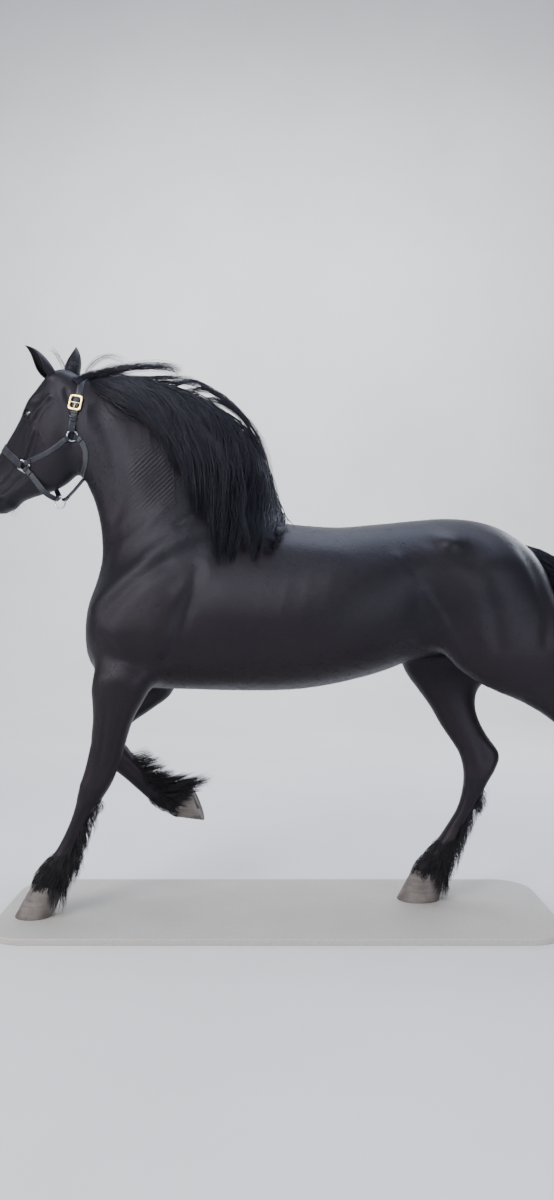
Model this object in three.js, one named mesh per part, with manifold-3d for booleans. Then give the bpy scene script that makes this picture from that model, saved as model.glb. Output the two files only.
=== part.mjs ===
// A life-size Friesian stallion at the trot, in a leather headcollar, standing on a flat display base.
// Millimetres, +Z up. The horse faces -X and its left side faces -Y. The origin is at the middle of
// the underside of the base. Heights of the horse are given above the top of the base.

import * as THREE from "three";
import { mergeVertices } from "three/addons/utils/BufferGeometryUtils.js";
import Module from "manifold-3d";

const wasm = await Module();
wasm.setup();

// Driving dimensions.
const GAP = 0.3;
const HAIR_GAP = 0.7;
const WELD = 1e-3;
const BASE = { length: 2160, width: 720, height: 24, corner: 150, chamfer: 5, cornerSteps: 6 };
const GROUND = BASE.height + GAP;

// The head hangs from the poll: slope is the angle of the face below level, yaw turns the muzzle
// away from the left side, and both turn about the first bone of the neck.
const HEAD = { x: -897, z: 2168, slope: 54.6, yaw: -24, pivotX: -800 };
const EYE = {
  along: 203, below: 66, out: 83, radius: 22, lid: 5, long: 44, high: 30, forward: 0.2, up: 0.35,
};
const NOSTRIL = { along: 590, below: 20, out: 56, long: 42, wide: 22, depth: 34 };
const MOUTH = { corner: 545, front: 680, below: 81, fall: -0.1, height: 3, out: 90, depth: 7 };
const EAR = { along: 40, below: 60, out: 52, length: 168, width: 64, wall: 6, levels: 7, round: 5, root: 26 };
// The headcollar: leather bands, two rings on the cheeks, two square fittings, a buckle and the
// ring under the chin.
const LEATHER = { low: -2, high: 3.4, end: 11, fold: 44, keeper: 2 };
const RING = { radius: 20, bar: 3.4, lift: 5.2, opening: 14.6 };
const CHIN_RING = { radius: 24, bar: 4, opening: 17 };
const SQUARE = { side: 50, hole: 22, thick: 5, lift: 5.2, corner: 6 };
const BUCKLE = { long: 66, wide: 56, openLong: 42, openWide: 34, thick: 5, corner: 12, prong: 4 };
const SIDES = { left: -1, right: 1 };

// Finishes.
const COAT = new THREE.MeshStandardMaterial({ color: 0x14110f, roughness: 0.5, metalness: 0 });
const EYEBALL = new THREE.MeshStandardMaterial({ color: 0x120a06, roughness: 0.08, metalness: 0 });
const HORN = new THREE.MeshStandardMaterial({ color: 0x7d756b, roughness: 0.7, metalness: 0 });
const STRAP = new THREE.MeshStandardMaterial({ color: 0x15171c, roughness: 0.5, metalness: 0 });
const BRASS = new THREE.MeshStandardMaterial({ color: 0xc8a85a, roughness: 0.3, metalness: 1 });
const STEEL = new THREE.MeshStandardMaterial({ color: 0xb9bcc0, roughness: 0.3, metalness: 1 });
const STAND = new THREE.MeshStandardMaterial({ color: 0xb9b5ad, roughness: 0.6, metalness: 0 });

// Stations run down each form. Each row holds the front or upper edge (x, z), the rear or lower
// edge (x, z), the middle plane y, the half width, how far the widest place lies towards the
// front edge (-1 to 1), and the roundness of the front and rear halves (2 is an ellipse).
const TORSO = [
  [-752, 1140, -752, 1055, 0, 40, 0, 2, 2],
  [-745, 1205, -742, 985, 0, 120, 0, 2.1, 2],
  [-712, 1290, -706, 930, 0, 188, 0, 2.2, 2],
  [-630, 1392, -636, 890, 0, 228, 0, 2.3, 2],
  [-505, 1480, -520, 873, 0, 250, -0.05, 2.2, 2.1],
  [-335, 1538, -350, 868, 0, 266, -0.1, 1.9, 2.2],
  [-130, 1560, -140, 863, 0, 290, -0.15, 1.7, 2.2],
  [60, 1530, 60, 867, 0, 316, -0.15, 1.85, 2.2],
  [230, 1515, 230, 891, 0, 327, -0.1, 2.1, 2.2],
  [400, 1527, 400, 934, 0, 312, -0.02, 2.2, 2.2],
  [540, 1541, 540, 985, 0, 290, 0.1, 2.1, 2.2],
  [680, 1549, 680, 1010, 0, 286, 0.15, 2.05, 2.2],
  [810, 1533, 810, 1005, 0, 282, 0.1, 2.1, 2.2],
  [920, 1488, 920, 1010, 0, 262, 0.05, 2.1, 2.2],
  [1010, 1412, 1005, 1025, 0, 222, 0, 2.1, 2.1],
  [1068, 1318, 1060, 1050, 0, 165, 0, 2, 2],
  [1100, 1235, 1092, 1100, 0, 85, 0, 2, 2],
];
const NECK = [
  [-806, 2112, -862, 1835, 0, 66, 0, 1.9, 2],
  [-748, 2126, -800, 1742, 0, 80, -0.1, 1.8, 2.1],
  [-636, 2098, -742, 1650, 0, 90, -0.15, 1.7, 2.2],
  [-498, 2056, -712, 1558, 0, 102, -0.2, 1.6, 2.2],
  [-366, 1990, -698, 1465, 0, 120, -0.2, 1.55, 2.2],
  [-252, 1888, -700, 1372, 0, 144, -0.2, 1.55, 2.2],
  [-166, 1775, -722, 1285, 0, 172, -0.2, 1.6, 2.2],
  [-100, 1668, -746, 1190, 0, 200, -0.15, 1.7, 2.2],
  [-40, 1590, -752, 1100, 0, 220, -0.1, 1.8, 2.2],
  [60, 1490, -640, 1000, 0, 205, 0, 2, 2.2],
];
// Rows of the head: distance along the face, depth of the face and of the jaw below the line of
// the face, half width, place of the widest, and the two roundnesses.
const SKULL = [
  [-18, 48, 150, 46, 0.1, 2.1, 2],
  [18, 14, 205, 74, 0.25, 2.3, 2],
  [70, 4, 248, 90, 0.35, 2.5, 2],
  [130, 0, 280, 97, 0.38, 2.6, 2.1],
  [195, -4, 306, 98, 0.4, 2.7, 2.2],
  [255, -7, 330, 90, 0.35, 2.7, 2.3],
  [315, -15, 334, 80, 0.3, 2.6, 2.3],
  [375, -25, 308, 70, 0.2, 2.5, 2.3],
  [435, -34, 266, 60, 0.1, 2.4, 2.3],
  [490, -40, 214, 55, 0, 2.4, 2.3],
  [540, -43, 172, 57, 0.1, 2.4, 2.3],
  [585, -40, 150, 61, 0.15, 2.4, 2.3],
  [618, -26, 132, 56, 0.1, 2.3, 2.2],
  [640, -2, 118, 44, 0.1, 2.2, 2],
  [650, 30, 96, 22, 0, 2, 2],
];
const LEG_SHAPE = [0, 2.2, 2.2];
const FORE_LEFT = [
  [-672, 1060, -450, 1050, -118, 66],
  [-704, 960, -452, 930, -158, 88],
  [-711, 880, -500, 850, -158, 82],
  [-707, 795, -545, 775, -154, 70],
  [-713, 700, -574, 692, -146, 60],
  [-728, 630, -594, 622, -138, 53],
  [-745, 565, -612, 572, -130, 52],
  [-764, 505, -638, 512, -124, 56],
  [-778, 445, -672, 458, -118, 49],
  [-796, 385, -712, 402, -114, 38],
  [-826, 315, -742, 330, -108, 35],
  [-862, 250, -772, 262, -104, 39],
  [-902, 205, -794, 202, -101, 46],
  [-936, 160, -832, 142, -100, 43],
  [-949, 118, -838, 92, -100, 53],
];
const FORE_RIGHT = [
  [-672, 1060, -420, 1040, 118, 66],
  [-713, 965, -405, 905, 158, 88],
  [-733, 890, -440, 830, 158, 82],
  [-750, 815, -520, 768, 155, 70],
  [-764, 740, -600, 712, 150, 60],
  [-772, 680, -638, 662, 146, 54],
  [-772, 625, -648, 644, 142, 54],
  [-752, 580, -640, 636, 138, 56],
  [-714, 546, -622, 622, 134, 51],
  [-668, 514, -598, 590, 131, 43],
  [-622, 478, -560, 545, 128, 37],
  [-576, 438, -518, 504, 126, 35],
  [-536, 404, -474, 474, 124, 39],
  [-496, 374, -428, 460, 122, 46],
  [-452, 352, -398, 446, 121, 43],
  [-409, 332, -382, 447, 120, 53],
];
const HIND_RIGHT = [
  [500, 1255, 1000, 1300, 140, 112],
  [486, 1120, 1062, 1165, 160, 122],
  [497, 1010, 1015, 1025, 168, 114],
  [538, 918, 935, 930, 165, 98],
  [587, 850, 848, 868, 156, 80],
  [632, 785, 824, 802, 145, 65],
  [676, 706, 836, 733, 135, 54],
  [713, 650, 868, 668, 125, 48],
  [749, 590, 918, 592, 118, 50],
  [765, 520, 902, 530, 112, 49],
  [762, 455, 866, 470, 108, 44],
  [740, 372, 832, 400, 105, 38],
  [697, 300, 791, 326, 102, 37],
  [652, 235, 751, 247, 100, 41],
  [615, 190, 726, 186, 100, 48],
  [578, 150, 690, 128, 100, 45],
  [555, 108, 680, 85, 100, 55],
];
const HIND_LEFT = [
  [540, 1255, 1020, 1300, -140, 112],
  [575, 1130, 1096, 1185, -160, 122],
  [640, 1010, 1122, 1065, -168, 114],
  [740, 925, 1124, 985, -166, 98],
  [835, 876, 1128, 925, -158, 80],
  [930, 836, 1136, 878, -151, 65],
  [1020, 784, 1158, 842, -146, 55],
  [1082, 734, 1200, 815, -142, 48],
  [1126, 690, 1254, 772, -138, 50],
  [1166, 640, 1276, 705, -136, 49],
  [1200, 594, 1294, 640, -135, 44],
  [1240, 543, 1324, 580, -134, 38],
  [1283, 490, 1366, 526, -133, 37],
  [1322, 440, 1408, 482, -132, 41],
  [1346, 394, 1444, 446, -132, 48],
  [1362, 352, 1468, 402, -132, 45],
  [1368, 312, 1486, 352, -132, 55],
];
// Each leg is flesh down to the coronet and a hoof below it. The joint is the station just below the
// knee or hock, and the top is where the leg leaves the body.
const LEGS = {
  fore_left: {
    flesh: FORE_LEFT,
    hoof: [
      [-944, 132, -836, 108, -100, 50],
      [-953, 114, -838, 88, -100, 56],
      [-976, 74, -850, 52, -100, 62],
      [-998, 34, -862, 24, -100, 67],
      [-1016, 0, -874, 0, -100, 70],
    ],
    top: 2,
    joint: 8,
    hang: [-0.4, 0, -0.92],
  },
  fore_right: {
    flesh: FORE_RIGHT,
    hoof: [
      [-426, 336, -396, 444, 120, 50],
      [-404, 330, -378, 450, 120, 56],
      [-366, 325, -368, 448, 120, 62],
      [-332, 321, -358, 444, 120, 66],
      [-300, 318, -350, 441, 120, 69],
    ],
    top: 2,
    joint: 9,
    hang: [0.88, 0, 0.3],
  },
  hind_left: {
    flesh: HIND_LEFT,
    hoof: [
      [1364, 328, 1478, 370, -132, 52],
      [1369, 308, 1488, 348, -132, 58],
      [1378, 274, 1494, 336, -132, 62],
      [1388, 240, 1498, 325, -132, 66],
      [1397, 207, 1502, 312, -132, 68],
    ],
    top: 3,
    joint: 10,
    hang: [0.2, 0, -0.98],
  },
  hind_right: {
    flesh: HIND_RIGHT,
    hoof: [
      [561, 124, 684, 100, 100, 52],
      [550, 104, 683, 80, 100, 58],
      [530, 68, 676, 48, 100, 63],
      [511, 32, 670, 22, 100, 67],
      [493, 0, 664, 0, 100, 70],
    ],
    top: 3,
    joint: 10,
    hang: [-0.36, 0, -0.93],
  },
};
const DOCK = [
  [940, 1470, 960, 1370, 0, 52],
  [1010, 1440, 1000, 1350, 0, 48],
  [1085, 1400, 1050, 1325, 4, 42],
  [1150, 1340, 1105, 1280, 10, 34],
  [1195, 1260, 1150, 1225, 18, 26],
];

// The mass of the hair of the tail.
const TAIL = [
  [985, 1474, 965, 1380, 0, 50],
  [1085, 1440, 1060, 1325, 2, 62],
  [1195, 1368, 1136, 1240, 10, 78],
  [1300, 1230, 1180, 1120, 22, 92],
  [1385, 1050, 1245, 960, 36, 100],
  [1450, 850, 1300, 780, 50, 100],
  [1495, 640, 1345, 590, 60, 92],
  [1520, 430, 1385, 400, 68, 74],
  [1520, 260, 1425, 250, 74, 46],
  [1508, 170, 1470, 165, 76, 14],
];
// Lines of the mane in side view, from the poll to the withers: root on the crest, where the hair
// lifts, where it turns over to the left side, half way down, and tip.
const MANE_LINES = [
  [-742, 2092, -693, 2060, -612, 1972, -520, 1900, -452, 1810],
  [-700, 2084, -642, 2076, -535, 1978, -440, 1840, -385, 1676],
  [-640, 2066, -568, 2082, -450, 1972, -348, 1784, -306, 1528],
  [-510, 2022, -418, 2058, -310, 1942, -250, 1724, -226, 1396],
  [-382, 1950, -298, 2008, -212, 1866, -172, 1640, -184, 1376],
  [-270, 1850, -198, 1926, -131, 1782, -106, 1590, -122, 1385],
  [-190, 1740, -130, 1822, -83, 1696, -66, 1552, -70, 1390],
  [-130, 1636, -78, 1712, -45, 1606, -24, 1514, -14, 1420],
  [-80, 1564, -35, 1598, -8, 1548, 8, 1504, 26, 1462],
];
const MANE_LAYERS = [
  { lift: 13, rootY: -10, count: 8, width: 116, from: 0 },
  { lift: 34, rootY: 6, count: 9, width: 104, from: 0.02 },
];
const MANE_LOCK = { thick: 14, steps: 4, spread: 20, turn: [0, 0.15, 0.7, 1, 1] };
// Rings of locks of the tail: where the root lies on the dock (0 to 1), where the tip ends on the
// mass, how far inside its skin the lock runs, and how many go round.
const TAIL_LAYERS = [
  { root: 0.6, tip: 0.88, sink: 22, count: 5, width: 100 },
  { root: 0.4, tip: 1, sink: -6, count: 7, width: 86 },
];
const TAIL_LOCK = { thick: 16, steps: 5, spread: 0.12, core: 6, shrink: 14, first: 0.12 };
// The locks of a feather: round the rear of the leg, in rows from the cannon down.
const FEATHER_LOCK = {
  rows: [0.68, 0.84],
  counts: [3, 3],
  reach: [1.7, 2.3],
  long: [60, 58],
  width: 64,
  thick: 14,
  lift: 15,
  down: 0.06,
  clear: 10,
};
const FORELOCK = { count: 4, width: 36, thick: 10, spread: 14 };

// Places of the headcollar on the left side of the head: along, below, out. The other side mirrors it.
const HALTER = {
  ring: [173, 276, 68],
  square: [398, 142, 66],
  chinRing: [440, 330, 0],
  buckle: [60, 208, 60],
  crown: [[-52, 146, 0], [-24, 158, 30], [17, 190, 48], [58, 207, 60], [102, 234, 70], [148, 256, 70]],
  cheek: [[207, 256, 70], [280, 222, 74], [345, 172, 69], [372, 148, 67]],
  nose: [[401, -24, 0], [400, -16, 26], [399, 22, 54], [398, 90, 68]],
  chin: [[434, 311, 0], [436, 306, 20], [432, 268, 44], [410, 200, 60]],
  throat: [[292, 364, 0], [284, 370, 18], [242, 374, 48], [194, 352, 62], [170, 312, 66]],
  jaw: [[416, 343, 0], [376, 356, 0], [326, 367, 0], [300, 372, 0]],
  keepers: [110, 132],
};
const LOCK_TIP = 0.1;
const HOLE_STEPS = 5;
const RING_STEPS = 10;
const BAND = { crown: 26, cheek: 20, nose: 34, chin: 24, throat: 22, jaw: 22 };
const STEP = { crown: 15, cheek: 48, nose: 22, chin: 34, throat: 24, jaw: 40 };

// Muscles and bones that raise or sink the skin: place, reach along x, y and z, and height.
// Each one is on both sides.
const RELIEF = [
  { at: [-600, 195, 1070], reach: [85, 90, 95], rise: 22 },
  { at: [-455, 240, 1060], reach: [95, 80, 120], rise: 20 },
  { at: [-330, 255, 1170], reach: [70, 80, 170], rise: -12 },
  { at: [-500, 215, 1330], reach: [60, 80, 130], rise: 8 },
  { at: [-745, 70, 1120], reach: [60, 50, 110], rise: 14 },
  { at: [-760, 0, 1110], reach: [60, 26, 140], rise: -14 },
  { at: [652, 250, 1440], reach: [55, 60, 45], rise: 22 },
  { at: [735, 240, 1400], reach: [55, 70, 60], rise: -14 },
  { at: [560, 270, 1190], reach: [70, 80, 130], rise: -16 },
  { at: [840, 240, 1260], reach: [120, 80, 150], rise: 12 },
  { at: [620, 240, 1040], reach: [60, 80, 70], rise: 8 },
];

// The same on the head: place along the face, below its line and out from the middle, then reach.
const HEAD_RELIEF = [
  { at: [200, 58, 96], reach: [42, 40, 34], rise: 11 },
  { at: [150, 26, 84], reach: [34, 22, 40], rise: 5 },
  { at: [132, 66, 96], reach: [30, 26, 40], rise: -9 },
  { at: [262, 114, 90], reach: [60, 16, 40], rise: 6 },
  { at: [330, 107, 80], reach: [60, 14, 40], rise: 6 },
  { at: [230, 210, 80], reach: [80, 60, 60], rise: 7 },
  { at: [400, 156, 60], reach: [60, 22, 40], rise: -5 },
  { at: [430, 33, 50], reach: [90, 26, 40], rise: -4 },
  { at: [590, 18, 60], reach: [30, 26, 30], rise: 7 },
  { at: [636, 57, 30], reach: [22, 18, 50], rise: 7 },
  { at: [628, 101, 30], reach: [20, 14, 50], rise: 6 },
  { at: [596, 153, 20], reach: [26, 18, 40], rise: 8 },
];

// Each ear: which way it points and which way its cup opens.
const EAR_LEAN = {
  [SIDES.left]: { up: [-0.6, -0.24, 0.76], open: [-0.7, -0.62, -0.4] },
  [SIDES.right]: { up: [0.13, 0.16, 0.98], open: [-0.72, 0.66, 0] },
};
// Levels of an ear: height, width, how far the leaf wraps round (degrees each way), wall, lean.
const EAR_PROFILE = [
  [-0.1, 0.66, 160, 3.2, 0],
  [0.06, 0.74, 155, 3, 0],
  [0.16, 0.86, 145, 1.4, 0.02],
  [0.3, 0.98, 128, 1.1, 0.03],
  [0.46, 1, 112, 1, 0.03],
  [0.62, 0.88, 98, 0.9, 0],
  [0.78, 0.62, 88, 0.8, -0.02],
  [0.91, 0.32, 78, 0.6, 0.03],
  [1, 0.06, 70, 0.15, 0.1],
];

// The boxes that part the nodes: the way in is a plane, the box runs out from it.
const CELL = {
  hoof: [300, 260, 300],
  lower: [700, 280, 640],
  upper: [700, 300, 1000],
  ear: [110, 120, 240],
};
const CUT = {
  head: { at: [-744, 0, 1930], out: [-1, 0, 0.03], size: [640, 420, 640] },
  neck: { at: [-400, 0, 1385], out: [-0.516, 0, 0.856], size: [1100, 760, 1300] },
  tail: { at: [1098, 4, 1348], out: [0.85, 0, -0.52], size: [120, 120, 400] },
  rump: { at: [1098, 4, 1348], out: [-0.85, 0, 0.52], size: [240, 400, 500] },
};

// Segments round each form and along it.
const FINENESS = {
  torso: { round: 22, along: 16 },
  neck: { round: 20, along: 10 },
  head: { round: 18, along: 16 },
  leg: { round: 11, along: 16 },
  dock: { round: 10, along: 5 },
  hoof: { round: 14, along: 2 },
  tail: { round: 10, along: 6 },
};

const radians = THREE.MathUtils.degToRad;

function power(value, exponent) {
  return Math.sign(value) * Math.abs(value) ** exponent;
}

// The sizes at t (0 to 1) down a list of stations, on a smooth curve through them.
function sizesAt(stations, t) {
  const last = stations.length - 1;
  const place = THREE.MathUtils.clamp(t, 0, 1) * last;
  const first = Math.min(Math.floor(place), last - 1);
  const f = place - first;
  const row = (i) => stations[THREE.MathUtils.clamp(i, 0, last)];
  const [p, q, r, s] = [row(first - 1), row(first), row(first + 1), row(first + 2)];
  return q.map((value, i) => {
    const slope = r[i] - p[i];
    const bend = 2 * p[i] - 5 * value + 4 * r[i] - s[i];
    const twist = 3 * value - p[i] - 3 * r[i] + s[i];
    return value + 0.5 * f * (slope + f * (bend + f * twist));
  });
}

// A form is its stations and how its points are moved into place.
function form(stations, move = (point) => point) {
  return { stations: stations.map((row) => (row.length < 9 ? [...row, ...LEG_SHAPE] : row)), move };
}

function reliefAt(point) {
  let rise = 0;
  for (const bump of RELIEF) {
    const dx = (point.x - bump.at[0]) / bump.reach[0];
    const dy = (Math.abs(point.y) - bump.at[1]) / bump.reach[1];
    const dz = (point.z - bump.at[2]) / bump.reach[2];
    rise += bump.rise * Math.exp(-(dx * dx + dy * dy + dz * dz));
  }
  return rise;
}

// A point of a form's skin: t runs down it, turn runs round it from its front or upper edge.
function skinPoint(shape, t, turn, grow = 0) {
  const [fx, fz, rx, rz, y, width, mid, frontRound, rearRound] = sizesAt(shape.stations, t);
  const across = Math.cos(turn);
  const roundness = 2 / (across > 0 ? frontRound : rearRound);
  const bent = power(across, roundness);
  const along = across > 0 ? mid + (1 - mid) * bent : mid + (1 + mid) * bent;
  const half = new THREE.Vector3((fx - rx) / 2, 0, (fz - rz) / 2);
  const middle = new THREE.Vector3((fx + rx) / 2, y, (fz + rz) / 2);
  const offset = half.clone().multiplyScalar(along);
  offset.y = width * power(Math.sin(turn), roundness);
  const point = middle.clone().add(offset);
  const lift = grow + (shape.relief ? shape.relief(point) : 0);
  point.addScaledVector(offset.normalize(), lift);
  return shape.move(point);
}

// A closed mesh through rings of points, with a flat cap at each end.
function loft(rings) {
  const count = rings[0].length;
  const points = rings.flat();
  const middleOf = (ring) => {
    const sum = ring.reduce((total, point) => total.add(point), new THREE.Vector3());
    return sum.divideScalar(count);
  };
  const index = [];
  for (let i = 0; i + 1 < rings.length; i++) {
    for (let j = 0; j < count; j++) {
      const a = i * count + j;
      const b = i * count + ((j + 1) % count);
      index.push(a, b, b + count, a, b + count, a + count);
    }
  }
  const top = points.length;
  const end = top - count;
  points.push(middleOf(rings[0]), middleOf(rings.at(-1)));
  for (let j = 0; j < count; j++) {
    const next = (j + 1) % count;
    index.push(top, next, j, top + 1, end + j, end + next);
  }
  const geometry = new THREE.BufferGeometry().setFromPoints(points);
  geometry.setIndex(index);
  return geometry;
}

function skin(shape, { round, along }, grow = 0) {
  const rings = [];
  for (let i = 0; i <= along; i++) {
    const ring = [];
    for (let j = 0; j < round; j++) {
      ring.push(skinPoint(shape, i / along, (j * 2 * Math.PI) / round, grow));
    }
    rings.push(ring);
  }
  return solid(loft(rings));
}

// A geometry as a solid that can be joined and cut, faces out.
function solid(geometry) {
  const bare = geometry.clone();
  bare.deleteAttribute("normal");
  bare.deleteAttribute("uv");
  const merged = mergeVertices(bare, WELD);
  const vertProperties = new Float32Array(merged.attributes.position.array);
  const triVerts = new Uint32Array(merged.index.array);
  if (signedVolume(vertProperties, triVerts) < 0) {
    triVerts.reverse();
  }
  return new wasm.Manifold(new wasm.Mesh({ numProp: 3, vertProperties, triVerts }));
}

function signedVolume(points, index) {
  const [a, b, c] = [new THREE.Vector3(), new THREE.Vector3(), new THREE.Vector3()];
  let volume = 0;
  for (let i = 0; i < index.length; i += 3) {
    a.fromArray(points, 3 * index[i]);
    b.fromArray(points, 3 * index[i + 1]);
    c.fromArray(points, 3 * index[i + 2]);
    volume += a.dot(b.cross(c));
  }
  return volume;
}

function geometryOf(body) {
  const { vertProperties, triVerts } = body.getMesh();
  const geometry = new THREE.BufferGeometry();
  geometry.setAttribute("position", new THREE.BufferAttribute(new Float32Array(vertProperties), 3));
  geometry.setIndex(new THREE.BufferAttribute(new Uint32Array(triVerts), 1));
  return geometry;
}

function join(bodies) {
  return bodies.reduce((whole, body) => whole.add(body));
}

function largest(body) {
  const parts = body.decompose();
  return parts.reduce((best, part) => (part.volume() > best.volume() ? part : best));
}

// The same body with its skin moved out by a small clearance.
function swollen(body, clearance) {
  const geometry = geometryOf(body);
  geometry.computeVertexNormals();
  const { position, normal } = geometry.attributes;
  const point = new THREE.Vector3();
  const out = new THREE.Vector3();
  for (let i = 0; i < position.count; i++) {
    point.fromBufferAttribute(position, i);
    out.fromBufferAttribute(normal, i);
    point.addScaledVector(out, clearance);
    position.setXYZ(i, point.x, point.y, point.z);
  }
  return solid(geometry);
}

// A box that starts at a plane and runs out along its normal, for parting one node from another.
function cell({ at, out, size }, clearance = 0) {
  const [wide, deep, high] = size;
  const box = new THREE.BoxGeometry(wide + 2 * clearance, deep + 2 * clearance, high + 2 * clearance);
  const direction = new THREE.Vector3(...out).normalize();
  const turn = new THREE.Quaternion().setFromUnitVectors(new THREE.Vector3(0, 0, 1), direction);
  box.applyQuaternion(turn);
  const middle = new THREE.Vector3(...at).addScaledVector(direction, high / 2);
  box.translate(middle.x, middle.y, middle.z);
  return solid(box);
}

// Cuts one node off a body, and gives the node and what is left, a thin gap apart.
function part(body, cut) {
  return [largest(body.intersect(cell(cut))), largest(body.subtract(cell(cut, GAP)))];
}

// Places on the head.
const faceDown = new THREE.Vector3(-Math.cos(radians(HEAD.slope)), 0, -Math.sin(radians(HEAD.slope)));
const faceBack = new THREE.Vector3(Math.sin(radians(HEAD.slope)), 0, -Math.cos(radians(HEAD.slope)));

function turnHead(point) {
  point.x -= HEAD.pivotX;
  point.applyAxisAngle(new THREE.Vector3(0, 0, 1), radians(HEAD.yaw));
  point.x += HEAD.pivotX;
  return point;
}

function headSpot(along, below, out) {
  const point = new THREE.Vector3(HEAD.x, out, HEAD.z);
  point.addScaledVector(faceDown, along);
  point.addScaledVector(faceBack, below);
  return turnHead(point);
}

function headDirection(along, below, out) {
  return headSpot(along, below, out).sub(headSpot(0, 0, 0)).normalize();
}

function skullRow([along, face, jaw, width, mid, faceRound, jawRound]) {
  const spot = (below) => [
    HEAD.x + faceDown.x * along + faceBack.x * below,
    HEAD.z + faceDown.z * along + faceBack.z * below,
  ];
  return [...spot(face), ...spot(jaw), 0, width, mid, faceRound, jawRound];
}

// How far the skin of the head is raised at a place, before the head is turned.
function headRelief(point) {
  const from = point.clone().sub(new THREE.Vector3(HEAD.x, 0, HEAD.z));
  const place = [from.dot(faceDown), from.dot(faceBack), Math.abs(point.y)];
  let rise = 0;
  for (const bump of HEAD_RELIEF) {
    const far = bump.at.reduce((sum, value, i) => sum + ((place[i] - value) / bump.reach[i]) ** 2, 0);
    rise += bump.rise * Math.exp(-far);
  }
  return rise;
}

const torsoForm = { ...form(TORSO), relief: reliefAt };
const neckForm = form(NECK);
const headForm = { ...form(SKULL.map(skullRow), turnHead), relief: headRelief };
const dockForm = form(DOCK);

// The plane of a station of a leg, facing down the leg.
function planeOf(stations, row) {
  const [fx, fz, rx, rz, y] = stations[row];
  const [nextFx, nextFz, nextRx, nextRz] = stations[row + 1] ?? stations[row];
  const [pastFx, pastFz, pastRx, pastRz] = stations[row - 1];
  const normal = new THREE.Vector3(fz - rz, 0, rx - fx);
  const down = new THREE.Vector3(nextFx + nextRx - pastFx - pastRx, 0, nextFz + nextRz - pastFz - pastRz);
  if (normal.dot(down) < 0) {
    normal.negate();
  }
  return { at: [(fx + rx) / 2, y, (fz + rz) / 2], out: normal.toArray() };
}

// A flat outline pushed out along its own middle line, with its long side and its far side turned
// to the two directions given.
function prism(shape, depth, at, long, outward, curveSegments = 3) {
  const geometry = new THREE.ExtrudeGeometry(shape, { depth, bevelEnabled: false, curveSegments });
  geometry.translate(0, 0, -depth / 2);
  const out = outward.clone().normalize();
  const across = new THREE.Vector3().crossVectors(out, long).normalize();
  const along = new THREE.Vector3().crossVectors(across, out);
  geometry.applyMatrix4(new THREE.Matrix4().makeBasis(along, across, out));
  geometry.translate(at.x, at.y, at.z);
  return solid(geometry);
}

function ball(at, radius, [round, high] = [10, 6]) {
  const geometry = new THREE.SphereGeometry(radius, round, high);
  return solid(geometry.translate(at.x, at.y, at.z));
}

function almond(long, high) {
  const shape = new THREE.Shape();
  shape.moveTo(-long / 2, 0);
  shape.quadraticCurveTo(0, high, long / 2, 0);
  shape.quadraticCurveTo(0, -high, -long / 2, 0);
  return shape;
}

const eyeSpot = (side) => headSpot(EYE.along, EYE.below, side * EYE.out);
const eyeOut = (side) => headDirection(EYE.forward, -EYE.up, side);
const eyeLong = () => headDirection(0.77, -0.64, 0);

const lids = (side) => ball(eyeSpot(side), EYE.radius + EYE.lid);

// The opening between the lids, from the middle of the eye out.
function lidOpening(side) {
  const opening = almond(EYE.long, EYE.high);
  const middle = eyeSpot(side).addScaledVector(eyeOut(side), EYE.radius);
  return prism(opening, 2 * EYE.radius, middle, eyeLong(), eyeOut(side));
}

function nostril(side) {
  const at = headSpot(NOSTRIL.along, NOSTRIL.below, side * NOSTRIL.out);
  const outward = headDirection(0.35, -0.3, side);
  return prism(almond(NOSTRIL.long, NOSTRIL.wide), NOSTRIL.depth, at, headDirection(0.8, 0.35, 0), outward);
}

// The line of the mouth, a shallow groove from its corners round the front of the lips.
function mouthGroove() {
  const long = MOUTH.front - MOUTH.corner;
  const box = new THREE.BoxGeometry(long, MOUTH.height, 2 * MOUTH.out);
  const across = headDirection(0, 0, 1);
  const line = headDirection(1, MOUTH.fall, 0);
  const up = new THREE.Vector3().crossVectors(across, line);
  box.applyMatrix4(new THREE.Matrix4().makeBasis(line, up, across));
  const middle = headSpot((MOUTH.front + MOUTH.corner) / 2, MOUTH.below, 0);
  box.translate(middle.x, middle.y, middle.z);
  return solid(box).subtract(skin(headForm, FINENESS.head, -MOUTH.depth));
}

// An ear is a rolled leaf: each level is a crescent, closed at the root and open towards the front.
function ear({ at, up, open }) {
  const axis = up.clone().normalize();
  const side = new THREE.Vector3().crossVectors(axis, open).normalize();
  const front = new THREE.Vector3().crossVectors(side, axis);
  const rings = [];
  for (let i = 0; i <= EAR.levels; i++) {
    const [height, size, wrap, wall, lean] = sizesAt(EAR_PROFILE, i / EAR.levels);
    const middle = at.clone().addScaledVector(axis, height * EAR.length);
    middle.addScaledVector(front, lean * EAR.width);
    const outer = [];
    const inner = [];
    for (let j = 0; j <= EAR.round; j++) {
      const angle = radians(wrap) * ((2 * j) / EAR.round - 1);
      const radius = (size * EAR.width) / 2;
      const spot = (r) =>
        middle
          .clone()
          .addScaledVector(side, r * Math.sin(angle))
          .addScaledVector(front, -r * Math.cos(angle));
      outer.push(spot(radius));
      inner.unshift(spot(Math.max(radius - wall * EAR.wall, 0.25 * radius)));
    }
    rings.push([...outer, ...inner]);
  }
  return solid(loft(rings));
}

function earOf(side) {
  const lean = EAR_LEAN[side];
  return {
    at: headSpot(EAR.along, EAR.below, side * EAR.out),
    up: new THREE.Vector3(...lean.up),
    open: new THREE.Vector3(...lean.open),
  };
}

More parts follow.
